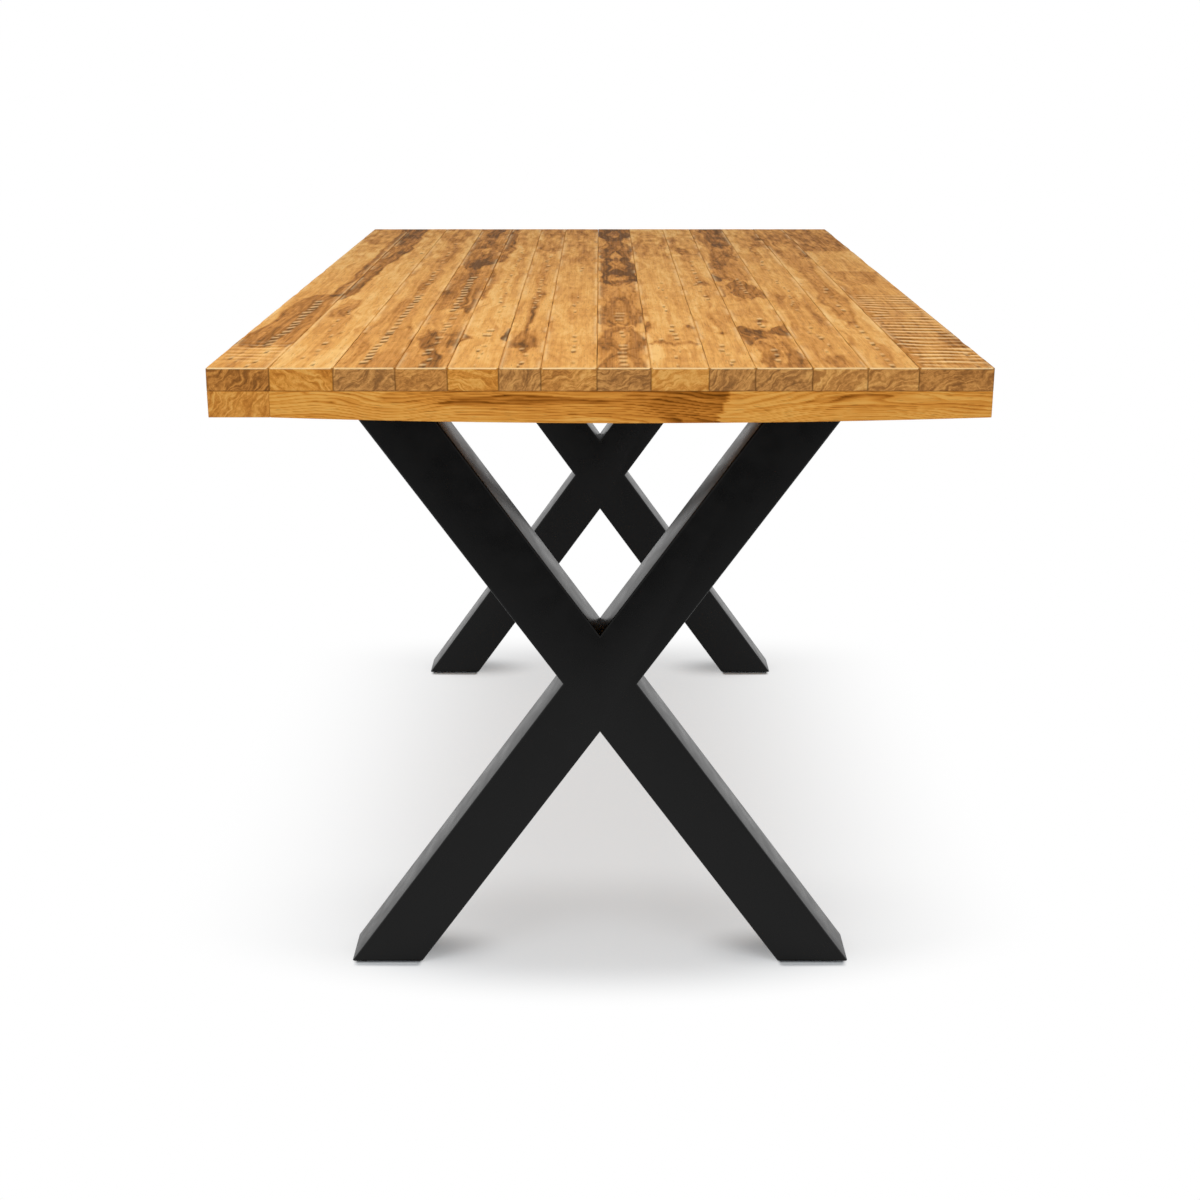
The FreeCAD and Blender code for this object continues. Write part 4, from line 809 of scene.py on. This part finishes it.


# Tool marks: their size and the pale rim behind each, which is a painted highlight. A row whose pitch, in
# millimetres, is wider than the close one is looser, and a pair gives a value in a close row and what
# looseness adds.
MARK_WIDTH = 0.0052
MARK_DEPTH = 0.0010
MARK_END = 0.001
MARK_VIEW = 0.035
HIGHLIGHT_BEHIND = 0.0095
CLOSE_PITCH = 27.0
LOOSE_PITCH = 33.0
STRAY_ASIDE = (0.0010, 0.0018)
STRAY_SLANT = (0.15, 0.4)
SHORTEST = (0.85, -0.4)
LONGEST = 1.3
WEAKEST = (0.65, -0.4)
NEAREST = (0.8, -0.4)
FARTHEST = (1.2, 0.5)


def loosened(pair, loose):
    return pair[0] + pair[1] * loose


def tool_marks(across, along, half, look, seed):
    """Rows of short strokes over the grain. Returns how deep they are, and their pale rims, which are
    painted highlights.
    """
    chance = np.random.default_rng(seed)
    marks = np.zeros(len(across))
    mark_highlights = np.zeros(len(across))
    for first, last, start, finish, length, pitch, strength in look["rows"]:
        loose = min(max((pitch - CLOSE_PITCH) / (LOOSE_PITCH - CLOSE_PITCH), 0.0), 1.0)
        place = start
        while place < finish:
            share = (place - start) / (finish - start)
            stray = chance.normal(0, loosened(STRAY_ASIDE, loose))
            centre = (first + (last - first) * share) * half + stray
            reach = length * MILLIMETRE * chance.uniform(loosened(SHORTEST, loose), LONGEST)
            slant = look["lean"] + chance.normal(0, loosened(STRAY_SLANT, loose))
            force = math.sqrt(strength) * chance.uniform(loosened(WEAKEST, loose), 1.0)
            near = np.abs(along - place) < MARK_VIEW
            offset = across[near] - centre
            above = along[near] - place - slant * offset
            span = force * step((reach + MARK_END - np.abs(offset)) / (2 * MARK_END))
            marks[near] = np.maximum(marks[near], span * bell(above, MARK_WIDTH))
            # Painted highlight: a pale rim behind each stroke
            mark_highlights[near] = np.maximum(mark_highlights[near], span * bell(above - HIGHLIGHT_BEHIND, MARK_WIDTH))
            gap = chance.uniform(loosened(NEAREST, loose), loosened(FARTHEST, loose))
            place += pitch * MILLIMETRE * gap
    return marks, mark_highlights


# Saw lines: their pitch and depth, how they bend, slant, fade in patches and end
SAW_PITCH = 0.0218
SAW_DEPTH = 0.0009
SAW_BEND = 0.6
SAW_SLANT_WIDTH = 0.22
SAW_FAINTEST = 0.35
SAW_PATCH_EDGE = (0.2, 0.5)
SAW_RAG = 0.4
SAW_END_SOFT = 0.03
SAW_SIDE_SOFT = 0.15
SAW_SHARPNESS = 1.3
SAW_LEVEL = 0.3


def saw_lines(across, along, half, look, seed):
    """Ladders of saw lines: how deep they are, and their pale crests, which are painted highlights."""
    troughs = np.zeros(len(across))
    crests = np.zeros(len(across))
    for start, finish, left, right, strength in look.get("ladders", []):
        bend = SAW_BEND * swing(across, along, SAW_BEND_CELL, seed)
        wave = np.cos(2 * math.pi * (along / SAW_PITCH + bend + across / SAW_SLANT_WIDTH))
        patch = rises(cloud(across, along, SAW_PATCH_CELL, seed + 1, start=5), *SAW_PATCH_EDGE)
        patchy = SAW_FAINTEST + (1 - SAW_FAINTEST) * patch
        ragged = across / half + SAW_RAG * swing(across * 0, along, SAW_RAG_CELL, seed + 2)
        inside = window(along, start, finish, SAW_END_SOFT) * window(ragged, left, right, SAW_SIDE_SOFT)
        inside = inside * strength * patchy
        troughs = np.maximum(troughs, step(wave * SAW_SHARPNESS - SAW_LEVEL) * inside)
        # Painted highlight on the crests between the saw lines
        crests = np.maximum(crests, step(-wave * SAW_SHARPNESS - SAW_LEVEL) * inside)
    return troughs, crests


# Edges of a stave: painted highlights, dark seams and chips. Limits on a face, its top and its rounded
# edges are counted in easings.
ON_FACE = 0.1
ON_TOP = 0.9
ON_EDGE = 1.05
UNDER_EDGE = 1.5
UPPER_BAND = 2
INNER_SOFT = 0.1
SEAM_HIGHLIGHT_WIDTH = 0.0018
SEAM_HIGHLIGHT = 0.95
SEAM_HIGHLIGHT_EDGE = (1 / 3, 1 / 3)
ARRIS_HIGHLIGHT = 0.75
SEAM_DARK = (0.05, 0.26)
SEAM_END_DARK = 0.35
SEAM_WANDER = 0.0004
SEAM_APART = 9
CHIP_LEVEL = 0.5
# Tones that go with the cuts, with painted highlights on the saw crests and behind the marks, and slow
# waves left by the planer
CUT_TONE = 0.10
CHATTER_TONE = 0.10
CHATTER_SLANT = 0.2
CHATTER_RISE = 0.035
TROUGH_MARK = 0.55
MARK_HIGHLIGHT = 0.6
CREST_HIGHLIGHT = 0.85
WANDER_DEPTH = 0.00025
# The figure is livelier towards the back
BACK_MOTTLE = 0.40
BACK_EDGE = (-0.05, 0.5)


def edge_highlights_and_seams(across, along, half, below, from_end, seed):
    """Painted highlights and dark seams along a stave's edges, where its seams are, and how far they chip.
    """
    rounded = (below > ON_FACE) & (below < ON_EDGE)
    ending = from_end < ON_EDGE
    seam = half - np.abs(across) < ON_EDGE * EASE
    wear_and_highlight = cloud(np.sign(across) * SEAM_APART, along, WEAR_AND_HIGHLIGHT_CELL, seed + 5, start=20)
    close = np.abs(across) - (half - EASE)
    # Painted highlight: a pale line beside each seam
    seam_highlight = np.exp(close / SEAM_HIGHLIGHT_WIDTH) * rises(wear_and_highlight, *SEAM_HIGHLIGHT_EDGE) * step(UPPER_BAND - below) * ~seam
    # Painted highlight along the rounded top edge at each end
    arris = ending & (below < ON_EDGE) & ~seam
    bright = ARRIS_HIGHLIGHT + (1 - ARRIS_HIGHLIGHT) * cloud(across, along * 0, ARRIS_CELL, seed + 8)
    pale = np.where(arris, bright, SEAM_HIGHLIGHT * seam_highlight)
    dark = np.where(seam & rounded & ~ending, SEAM_DARK[0] + SEAM_DARK[1] * (1 - wear_and_highlight), 0.0)
    dark = np.where(seam & ending, SEAM_END_DARK, dark)
    chip = SEAM_WANDER * step(1 - wear_and_highlight / CHIP_LEVEL) * (below < UNDER_EDGE) * (from_end > ON_FACE)
    return pale, dark, seam, chip


def planed_tone(across, along, seed):
    """Slanted waves left by the planer, and the livelier figure towards the back."""
    rise = along + CHATTER_SLANT * across + CHATTER_RISE * cloud(across, along, RISE_CELL, seed + 12)
    chatter = CHATTER_TONE * swing(across, rise, CHATTER_CELL, seed + 11, start=3)
    lively = BACK_MOTTLE * rises(along, *BACK_EDGE)
    return chatter + lively * swing(across, rise, BACK_CELL, seed + 14)


def dress_stave(piece, look, low, high, seed):
    """Gives a stave its tones, marks, painted highlights, dark seams and chips, and cuts the marks into
    its upper face.
    """
    mesh = piece.data
    points = read_points(mesh)
    half = (high.x - low.x) / 2
    across = points[:, 0] - (low.x + high.x) / 2
    along = points[:, 1].copy()
    below = (high.z - points[:, 2]) / EASE
    from_end = (high.y - np.abs(along)) / EASE
    upper = step(UPPER_BAND - below) * window(across / half, -1.0, 1.0, INNER_SOFT)
    marks, mark_highlights = tool_marks(across, along, half, look, seed + 10)
    troughs, crests = saw_lines(across, along, half, look, seed + 20)
    pale, dark, seam, chip = edge_highlights_and_seams(across, along, half, below, from_end, seed)
    depth = figure(across, along, half, look, seed) + planed_tone(across, along, seed)
    # Troughs darker and crests paler, the pale crests a painted highlight
    depth += CUT_TONE * (troughs - crests)
    plain = plain_side(across, along, look, seed + 13)
    store(mesh, "depth", np.where(below < ON_TOP, depth, plain))
    store(mesh, "mark", np.maximum(np.maximum(marks, TROUGH_MARK * troughs) * upper, dark))
    store(mesh, "rim", np.maximum(np.maximum(MARK_HIGHLIGHT * mark_highlights, CREST_HIGHLIGHT * crests) * upper, pale))
    swell = cloud(across, along, SWELL_CELL, seed + 6) * WANDER_DEPTH
    sunk = (marks * MARK_DEPTH + troughs * SAW_DEPTH + swell) * upper
    points[:, 2] -= np.where(seam, chip, sunk)
    points[:, 0] -= np.where(seam, np.sign(across) * chip, 0.0)
    mesh.vertices.foreach_set("co", points.ravel())
    mesh.update()


# How far the timber's pattern and the seeds move on from one stave to the next
STAVE_SHIFT = (0.37, 1.9, 0.61)
STAVE_SEED = 7
STAVE_SEED_STEP = 100


def make_staves():
    for number, (name, look) in enumerate(STAVES.items()):
        low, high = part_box(name)
        shape = eased_block(low, high, EASE)
        cut_rows(shape, 1, round((high.y - low.y) / ROW_LENGTH))
        cut_rows(shape, 0, round((high.x - low.x) / COLUMN_WIDTH), top_only=high.z - UNDER_EDGE * EASE)
        ends = [face for face in shape.faces if abs(face.normal.y) > PARALLEL]
        bmesh.ops.inset_individual(shape, faces=ends, thickness=SEAM_BAND)
        shift = tuple(number * part for part in STAVE_SHIFT)
        finish = timber(name + "_oiled", shift, end=look["end"], slant=look["slant"],
                        end_toast=look["toast"])
        piece = keep(shape, name + "_board", finish, "oiled_hardwood", name)
        dress_stave(piece, look, low, high, STAVE_SEED + STAVE_SEED_STEP * number)


# Rails under the staves

# Where the dark heart of the front end rail breaks off, as stations of an outline
HEART_BREAK = [(0.122, -1.3, 1.3), (0.1245, -0.6, 1.3), (0.1275, 0.3, 1.3), (0.136, 1.5, 1.5)]
# What each rail shows on its outer face. Places across run from its lower edge, -1, to its
# upper edge, 1, and places along it are in metres from the middle of the table. The flow gives
# the path (along, across) that the growth lines follow, lines is their strength, and fine makes
# the whole figure finer than on a stave.
RAILS = {
    "left_side_rail": {
        "tone": 0.34, "end": 0.36, "slant": 0.9, "fine": 0.4, "lines": 0.2,
        "flow": [(-0.7, 0.0), (-0.4, 0.5), (-0.1, -0.3), (0.2, 0.4), (0.5, -0.2), (0.7, 0.1)],
        "shapes": [(0.18, [(-0.50, -0.6, 0.2), (-0.35, -0.9, 0.4), (-0.2, -0.5, 0.0)]),
                   (0.20, [(0.05, 0.0, 0.6), (0.2, -0.3, 1.0), (0.42, 0.1, 0.7)]),
                   (0.16, [(-0.15, 0.3, 0.6), (0.0, 0.5, 0.8), (0.15, 0.2, 0.5)])]},
    "right_side_rail": {
        "tone": 0.32, "end": 0.40, "slant": 0.5, "fine": 0.4, "lines": 0.2,
        "flow": [(-0.7, 0.2), (-0.45, -0.4), (-0.1, 0.3), (0.25, -0.4), (0.5, 0.3), (0.7, 0.0)],
        "shapes": [(0.18, [(-0.30, -0.2, 0.5), (-0.12, 0.0, 1.0), (0.05, 0.3, 0.8)]),
                   (0.20, [(0.30, -0.9, 0.0), (0.45, -0.6, 0.4), (0.60, -0.2, 0.3)]),
                   (0.14, [(-0.6, -0.5, -0.1), (-0.45, -0.3, 0.2), (-0.3, -0.6, -0.2)])]},
    "front_end_rail": {
        "tone": 0.15, "end": 0.46, "slant": 0.4, "fine": 0.4, "lines": 0.34,
        "flow": [(-0.34, 0.3), (-0.27, 0.5), (-0.22, -0.5), (-0.15, 0.0), (0.0, 0.1), (0.06, 0.0),
                 (0.125, -0.6), (0.25, 0.7), (0.40, 0.0)],
        "shapes": [(0.16, [(-0.22, 0.3, 0.9), (-0.12, -0.2, 1.3), (-0.05, -0.7, 1.3), (0.03, -1.3, 1.3),
                           *HEART_BREAK]),
                   (0.11, [(0.01, 0.0, 0.4), (0.04, -0.5, 1.0), (0.07, -1.3, 1.3), *HEART_BREAK]),
                   (0.12, [(0.05, -0.3, 0.3), (0.07, -1.0, 0.8), (0.09, -1.3, 1.3), *HEART_BREAK]),
                   (0.22, [(-0.16, 0.0, 0.3), (-0.10, 0.0, 0.7), (-0.05, 0.2, 0.6), (0.01, 0.1, 0.4)]),
                   (0.15, [(0.135, -0.75, -0.55), (0.17, -0.4, -0.1), (0.21, 0.1, 0.35), (0.26, 0.5, 0.75),
                           (0.32, 0.6, 0.8)]),
                   (0.11, [(0.20, -0.5, -0.3), (0.27, -0.1, 0.15), (0.33, -0.1, 0.2), (0.39, -0.4, -0.1)]),
                   (0.10, [(-0.275, 0.45, 0.6), (-0.25, 0.1, 0.35), (-0.22, -0.55, -0.3),
                           (-0.19, -0.75, -0.45), (-0.155, -0.3, -0.05)])],
        "knots": [(0.25, -0.290, 1.5, 0.5), (0.2, -0.273, 1.5, 0.4), (0.3, -0.186, 1.5, 0.5),
                  (0.85, -0.300, 2.0, 0.5), (-0.55, 0.168, 1.5, 0.5), (0.6, 0.356, 2.0, 0.35)]},
    "rear_end_rail": {
        "tone": 0.32, "end": 0.40, "slant": 0.4, "fine": 0.4, "lines": 0.2,
        "flow": [(-0.40, 0.0), (-0.22, 0.5), (-0.05, -0.3), (0.12, 0.4), (0.28, -0.3), (0.40, 0.1)],
        "shapes": [(0.18, [(-0.30, -0.9, 0.0), (-0.18, -0.6, 0.4), (-0.05, -0.2, 0.3)]),
                   (0.20, [(0.08, 0.0, 0.6), (0.18, -0.5, 1.0), (0.28, 0.1, 0.8)])]},
}
# Sizes of a rail's mesh, and how its pattern and seeds move on from one rail to the next
RAIL_EASE = 0.0006
RAIL_ROW = 0.003
RAIL_COLUMN = 0.0009
RAIL_STRAIGHT = 1e-6
RAIL_UNDER = 0.3
RAIL_SHIFT = (2.3, 0.0, 1.7)
RAIL_SHIFT_STEP = (0.7, 4.1, 0.9)
RAIL_SEED = 3000
RAIL_SEED_STEP = 50


def belly(place, low, high, drop):
    """How far the lower edge of a rail sinks at one place along it, in an arc of a circle."""
    if drop < RAIL_STRAIGHT:
        return 0.0
    middle, half = (low + high) / 2, (high - low) / 2
    radius = (half ** 2 + drop ** 2) / (2 * drop)
    return math.sqrt(max(radius ** 2 - (place - middle) ** 2, 0.0)) - (radius - drop)


def dress_rail(piece, look, axis, straight, sunk, half, seed):
    """Gives a rail its tones. Sunk is how far its lower edge sinks at each of its points."""
    points = read_points(piece.data)
    rise = points[:, 2] - straight - half
    depth = figure(rise, points[:, axis], half, look, seed)
    plain = plain_side(points[:, 1 - axis], points[:, axis], look, seed + 13)
    under = points[:, 2] < straight - sunk + RAIL_UNDER * RAIL_EASE
    store(piece.data, "depth", np.where(under, plain, depth))
    store(piece.data, "mark", np.zeros(len(points)))
    store(piece.data, "rim", np.zeros(len(points)))


def make_rails():
    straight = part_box("left_side_rail")[0].z
    for number, (name, look) in enumerate(RAILS.items()):
        low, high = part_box(name)
        axis = 0 if name.endswith("end_rail") else 1
        drop = straight - low.z
        shape = eased_block(Vector((low.x, low.y, straight)), high, RAIL_EASE)
        cut_rows(shape, axis, round((high[axis] - low[axis]) / RAIL_ROW))
        cut_rows(shape, 2, round((high.z - straight) / RAIL_COLUMN))
        sunk = np.array([belly(vert.co.x, low.x, high.x, drop) for vert in shape.verts])
        for vert, sink in zip(shape.verts, sunk.tolist()):
            share = min(max((high.z - vert.co.z) / (high.z - straight), 0.0), 1.0)
            vert.co.z -= share * sink
        shift = tuple(first + more * number for first, more in zip(RAIL_SHIFT, RAIL_SHIFT_STEP))
        finish = timber(name + "_oiled", shift, turn=math.pi / 2 if axis == 0 else 0.0,
                        end=look["end"], slant=look["slant"], toast=1.0, end_toast=0.8)
        piece = keep(shape, name + "_board", finish, "oiled_hardwood", name)
        half = (high.z - straight) / 2
        dress_rail(piece, look, axis, straight, sunk, half, RAIL_SEED + RAIL_SEED_STEP * number)


# Crossed legs

# How far aside the middle of a tube is at its foot and at its upper end, the heights of both ends
# and of the crossing, and half a tube's width along a level cut
FOOT_REACH = 0.260
ARM_REACH = 0.24575
FOOT_END = 0.0025
ARM_END = 0.704
CROSSING = 0.3631
HALF_CUT = 0.04315
LEG_SLOPE = 0.721
# The tube itself, the hollow that shows in a foot, and how flat a foot's face has to be
TUBE_CORNER = 0.003
TUBE_WALL = 0.002
HOLLOW_DEPTH = 0.09
FOOT_FLAT = 0.001


def make_leg_frame(end, coat):
    """One crossed frame with ground joints: a flush cross with rounded edges and hollow feet."""
    low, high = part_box(f"{end}_long_tube")
    rise = HALF_CUT / LEG_SLOPE
    right = [(0.0, CROSSING - rise), (FOOT_REACH - HALF_CUT, FOOT_END),
             (FOOT_REACH + HALF_CUT, FOOT_END), (HALF_CUT, CROSSING),
             (ARM_REACH + HALF_CUT, ARM_END), (ARM_REACH - HALF_CUT, ARM_END)]
    left = [(0.0, CROSSING + rise)] + [(-x, z) for x, z in right[:0:-1]]
    shape = bmesh.new()
    corners = [shape.verts.new((x, low.y, z)) for x, z in right + left]
    outline = shape.faces.new(corners)
    grown = bmesh.ops.extrude_face_region(shape, geom=[outline])
    far = [item for item in grown["geom"] if isinstance(item, bmesh.types.BMVert)]
    bmesh.ops.translate(shape, vec=(0.0, high.y - low.y, 0.0), verts=far)
    bmesh.ops.recalc_face_normals(shape, faces=shape.faces)
    lengthwise = [edge for edge in shape.edges if not runs(edge, 0) and not runs(edge, 1)]
    bmesh.ops.bevel(shape, geom=lengthwise, offset=TUBE_CORNER, affect="EDGES", segments=4,
                    profile=0.5, material=-1)
    feet = [face for face in shape.faces
            if face.normal.z < -PARALLEL and face.calc_center_median().z < FOOT_END + FOOT_FLAT]
    bmesh.ops.inset_individual(shape, faces=feet, thickness=TUBE_WALL)
    for foot in feet:
        lean = -LEG_SLOPE if foot.calc_center_median().x > 0 else LEG_SLOPE
        grown = bmesh.ops.extrude_discrete_faces(shape, faces=[foot])
        bmesh.ops.translate(shape, vec=Vector((lean, 0.0, 1.0)) * HOLLOW_DEPTH,
                            verts=grown["faces"][0].verts)
    keep(shape, f"{end}_leg_frame", coat, "black_powder_coat", f"{end}_long_tube",
         f"{end}_upper_tube", f"{end}_lower_tube", f"{end}_crossing_welds")


# Carried-over solids

def finish_solids(finishes):
    """Gives solids that stay as they are a finish each."""
    for name, material in finishes.items():
        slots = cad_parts[name].data.materials
        slots.clear()
        slots.append(material)


powder_coat = speckled("satin_powder_coat", tint(3, 3, 3), tint(9, 9, 9), gloss=0.30, scale=1500.0,
                       relief=0.10, Specular_IOR_Level=0.19)
zinc = speckled("zinc_plate", tint(168, 170, 172), tint(205, 206, 204), gloss=0.34, scale=700.0,
                relief=0.06, Metallic=1.0)
brass = speckled("turned_brass", tint(176, 140, 70), tint(206, 172, 98), gloss=0.32, scale=600.0,
                 relief=0.06, Metallic=1.0)
nylon = speckled("moulded_nylon", tint(14, 14, 14), tint(30, 30, 30), gloss=0.55, scale=900.0,
                 relief=0.15)
bearer = timber("sanded_bearer", shift=(3.1, 0.7, 1.3), turn=math.pi / 2, depth=0.40)

make_staves()
make_rails()
for end in ("front", "rear"):
    make_leg_frame(end, powder_coat)
    finish_solids({
        f"{end}_mounting_plate": powder_coat, f"{end}_plate_welds": powder_coat,
        f"{end}_weld_nuts": zinc, f"{end}_plate_bolts": zinc, f"{end}_plate_washers": zinc,
        f"{end}_plate_inserts": brass, f"{end}_bearer": bearer})
    for hand in ("left", "right"):
        foot = f"{end}_{hand}"
        finish_solids({f"{foot}_foot_plate": powder_coat, f"{foot}_glide_base": nylon,
                       f"{foot}_glide_stem": zinc})
finish_solids({"middle_bearer": bearer, "bearer_screws": zinc})


# Floor, light and camera

# Strengths of the lights, and where the floor's glow, as mirrored rays see it, fades to painted shade far
# in front of the table
DOME = 0.36
KEY = 0.36
KEY_ANGLE = 60.0
SOFTBOX = 26.0
FRONT_FILL = 20.0
REFLECTED_SHADE_START = -0.95
REFLECTED_SHADE_FULL = -3.40
REFLECTED_SHADE_GREY = (0.12, 0.12, 0.12, 1.0)
# The floor, and where the painted shadow under the table starts, changes and ends
FLOOR_SIZE = 60.0
FLOOR_PAINT = (0.90, 0.95, 0.99, 1.0)
SHADE_START = (-0.66, -0.55)
SHADE_BOW = -0.4
SHADE_CHANGE = (-0.42, -0.27)
SHADE_FRONT = 0.57
SHADE_BACK = 0.415
SHADE_FINISH = (0.52, 0.70)
SHADE_ASIDE = (0.07, 0.58)
# The painted soft shadow round each foot, and the painted shadow line right under it
CONTACT_ASIDE = 0.215
CONTACT_AHEAD = 0.513
CONTACT_WIDTH = 0.115
CONTACT_LENGTH = 0.064
CONTACT_SHADE = 0.34
FOOT_PAST = 0.011
FOOT_SOFT = 0.009
FOOT_SHADE = 1.0
# The camera fitted to the photograph, with its tilt from straight down in degrees
LENS = 52.30
SENSOR = 36.0
CAMERA_PLACE = (0.0, -2.45324, 1.07119)
CAMERA_TILT = 72.354


def seen_directly(nodes):
    """1 where the camera, a mirror or clear glass looks straight at a surface."""
    path = nodes.add("LightPath")
    seen = nodes.sum("MAXIMUM", path.outputs["Is Camera Ray"], path.outputs["Is Glossy Ray"])
    return nodes.sum("MAXIMUM", seen, path.outputs["Is Transmission Ray"])


def foot_shadow(nodes, aside, ahead):
    """Painted shadow round each foot, as an oval that fades outwards."""
    beside = nodes.sum("MULTIPLY_ADD", aside, 1 / CONTACT_WIDTH, -CONTACT_ASIDE / CONTACT_WIDTH)
    before = nodes.sum("MULTIPLY_ADD", ahead, 1 / CONTACT_LENGTH, -CONTACT_AHEAD / CONTACT_LENGTH)
    away = nodes.sum("ADD", nodes.sum("POWER", beside, 2.0), nodes.sum("POWER", before, 2.0))
    return nodes.range(nodes.sum("SQRT", away), 0.0, 1.0, CONTACT_SHADE, 0.0)


def foot_shadow_line(nodes, aside, ahead):
    """Painted shadow in a dark line right under each foot, with soft edges."""
    low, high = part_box("rear_long_tube")
    under = FOOT_SHADE
    for place, start, finish in ((aside, FOOT_REACH - HALF_CUT, FOOT_REACH + HALF_CUT),
                                 (ahead, low.y - FOOT_PAST, high.y + FOOT_PAST)):
        under = nodes.sum("MULTIPLY", under, nodes.range(place, start, start + FOOT_SOFT))
        under = nodes.sum("MULTIPLY", under, nodes.range(place, finish - FOOT_SOFT, finish, 1.0, 0.0))
    return under


def floor_shade(nodes, across, along):
    """Painted shadow: how much of the table's shadow shows at each place on the floor."""
    aside = nodes.sum("ABSOLUTE", across)
    ahead = nodes.sum("ABSOLUTE", along)
    bowed = nodes.sum("MULTIPLY_ADD", nodes.sum("POWER", across, 2.0), SHADE_BOW, along)
    shade = nodes.range(along, *SHADE_CHANGE, SHADE_FRONT, SHADE_BACK)
    edges = [nodes.range(aside, *SHADE_ASIDE, 1.0, 0.0), nodes.range(bowed, *SHADE_START),
             nodes.range(along, *SHADE_FINISH, 1.0, 0.0)]
    for edge in edges:
        shade = nodes.sum("MULTIPLY", shade, edge)
    shade = nodes.sum("ADD", shade, foot_shadow(nodes, aside, ahead), clamp=True)
    return nodes.sum("ADD", shade, foot_shadow_line(nodes, aside, ahead), clamp=True)


def make_floor():
    """A plain pale floor that keeps the table's shadow through a painted shadow mask and goes to white
    round it.
    """
    shape = bmesh.new()
    bmesh.ops.create_grid(shape, x_segments=1, y_segments=1, size=FLOOR_SIZE / 2)
    mesh = bpy.data.meshes.new("floor")
    shape.to_mesh(mesh)
    shape.free()
    material = bpy.data.materials.new("pale_floor")
    material.use_nodes = True
    tree = material.node_tree
    tree.nodes.clear()
    nodes = Nodes(tree)
    matt = nodes.add("BsdfDiffuse", {"Color": FLOOR_PAINT})
    where = nodes.add("TexCoord")
    apart = nodes.add("SeparateXYZ", {0: where.outputs["Object"]})
    across, along = apart.outputs["X"], apart.outputs["Y"]
    mirrored = nodes.add("LightPath").outputs["Is Glossy Ray"]
    # Painted reflection: mirrored rays see the floor's glow turn grey far in front of the table
    reflected_shade = nodes.sum("MULTIPLY", mirrored, nodes.range(along, REFLECTED_SHADE_FULL, REFLECTED_SHADE_START, 1.0, 0.0))
    glow = nodes.add("Emission", {"Color": nodes.mix(reflected_shade, WHITE, REFLECTED_SHADE_GREY), "Strength": 1.0})
    # Painted shadow: where the mask is high, the matt floor shows through the white glow
    glowing = nodes.sum("SUBTRACT", 1.0, floor_shade(nodes, across, along))
    share = nodes.sum("MULTIPLY", seen_directly(nodes), glowing)
    mixed = nodes.add("MixShader", {0: share, 1: matt.outputs[0], 2: glow.outputs[0]})
    nodes.add("OutputMaterial", {"Surface": mixed.outputs[0]})
    mesh.materials.append(material)
    floor = bpy.data.objects.new("floor", mesh)
    bpy.context.scene.collection.objects.link(floor)


def make_world():
    world = bpy.data.worlds.new("white_room")
    bpy.context.scene.world = world
    world.use_nodes = True
    tree = world.node_tree
    tree.nodes.clear()
    nodes = Nodes(tree)
    dome = nodes.add("Background", {"Color": WHITE, "Strength": DOME})
    backdrop = nodes.add("Background", {"Color": WHITE, "Strength": 1.0})
    mixed = nodes.add("MixShader", {0: seen_directly(nodes), 1: dome.outputs[0], 2: backdrop.outputs[0]})
    nodes.add("OutputWorld", {"Surface": mixed.outputs[0]})


def add_lamp(name, kind, place, target, energy, glossy=True):
    lamp = bpy.data.lights.new(name, kind)
    lamp.energy = energy
    item = bpy.data.objects.new(name, lamp)
    item.location = place
    item.visible_glossy = glossy
    item.rotation_euler = (Vector(target) - Vector(place)).to_track_quat("-Z", "Y").to_euler()
    bpy.context.scene.collection.objects.link(item)
    return lamp


def add_softbox(name, place, target, energy, size, glossy=True):
    lamp = add_lamp(name, "AREA", place, target, energy, glossy)
    lamp.shape = "RECTANGLE"
    lamp.size, lamp.size_y = size


def make_lights():
    key = add_lamp("overhead_light", "SUN", place=(-0.4, 0.0, 3.0), target=(0.0, 0.0, 0.0), energy=KEY)
    key.angle = math.radians(KEY_ANGLE)
    add_softbox("front_softbox", place=(-0.3, -0.95, 2.5), target=(0.0, -0.85, 0.7), energy=SOFTBOX,
                size=(2.0, 1.0))
    add_softbox("front_fill", place=(-0.2, -3.6, 1.1), target=(0.0, -0.7, 0.6), energy=FRONT_FILL,
                size=(3.0, 1.6), glossy=False)


def make_camera():
    camera = bpy.data.cameras.new("camera")
    camera.lens = LENS
    camera.sensor_width = SENSOR
    item = bpy.data.objects.new("camera", camera)
    item.location = CAMERA_PLACE
    item.rotation_euler = (math.radians(CAMERA_TILT), 0.0, 0.0)
    bpy.context.scene.collection.objects.link(item)
    bpy.context.scene.camera = item


make_floor()
make_world()
make_lights()
make_camera()
bpy.context.scene.view_settings.view_transform = "Standard"
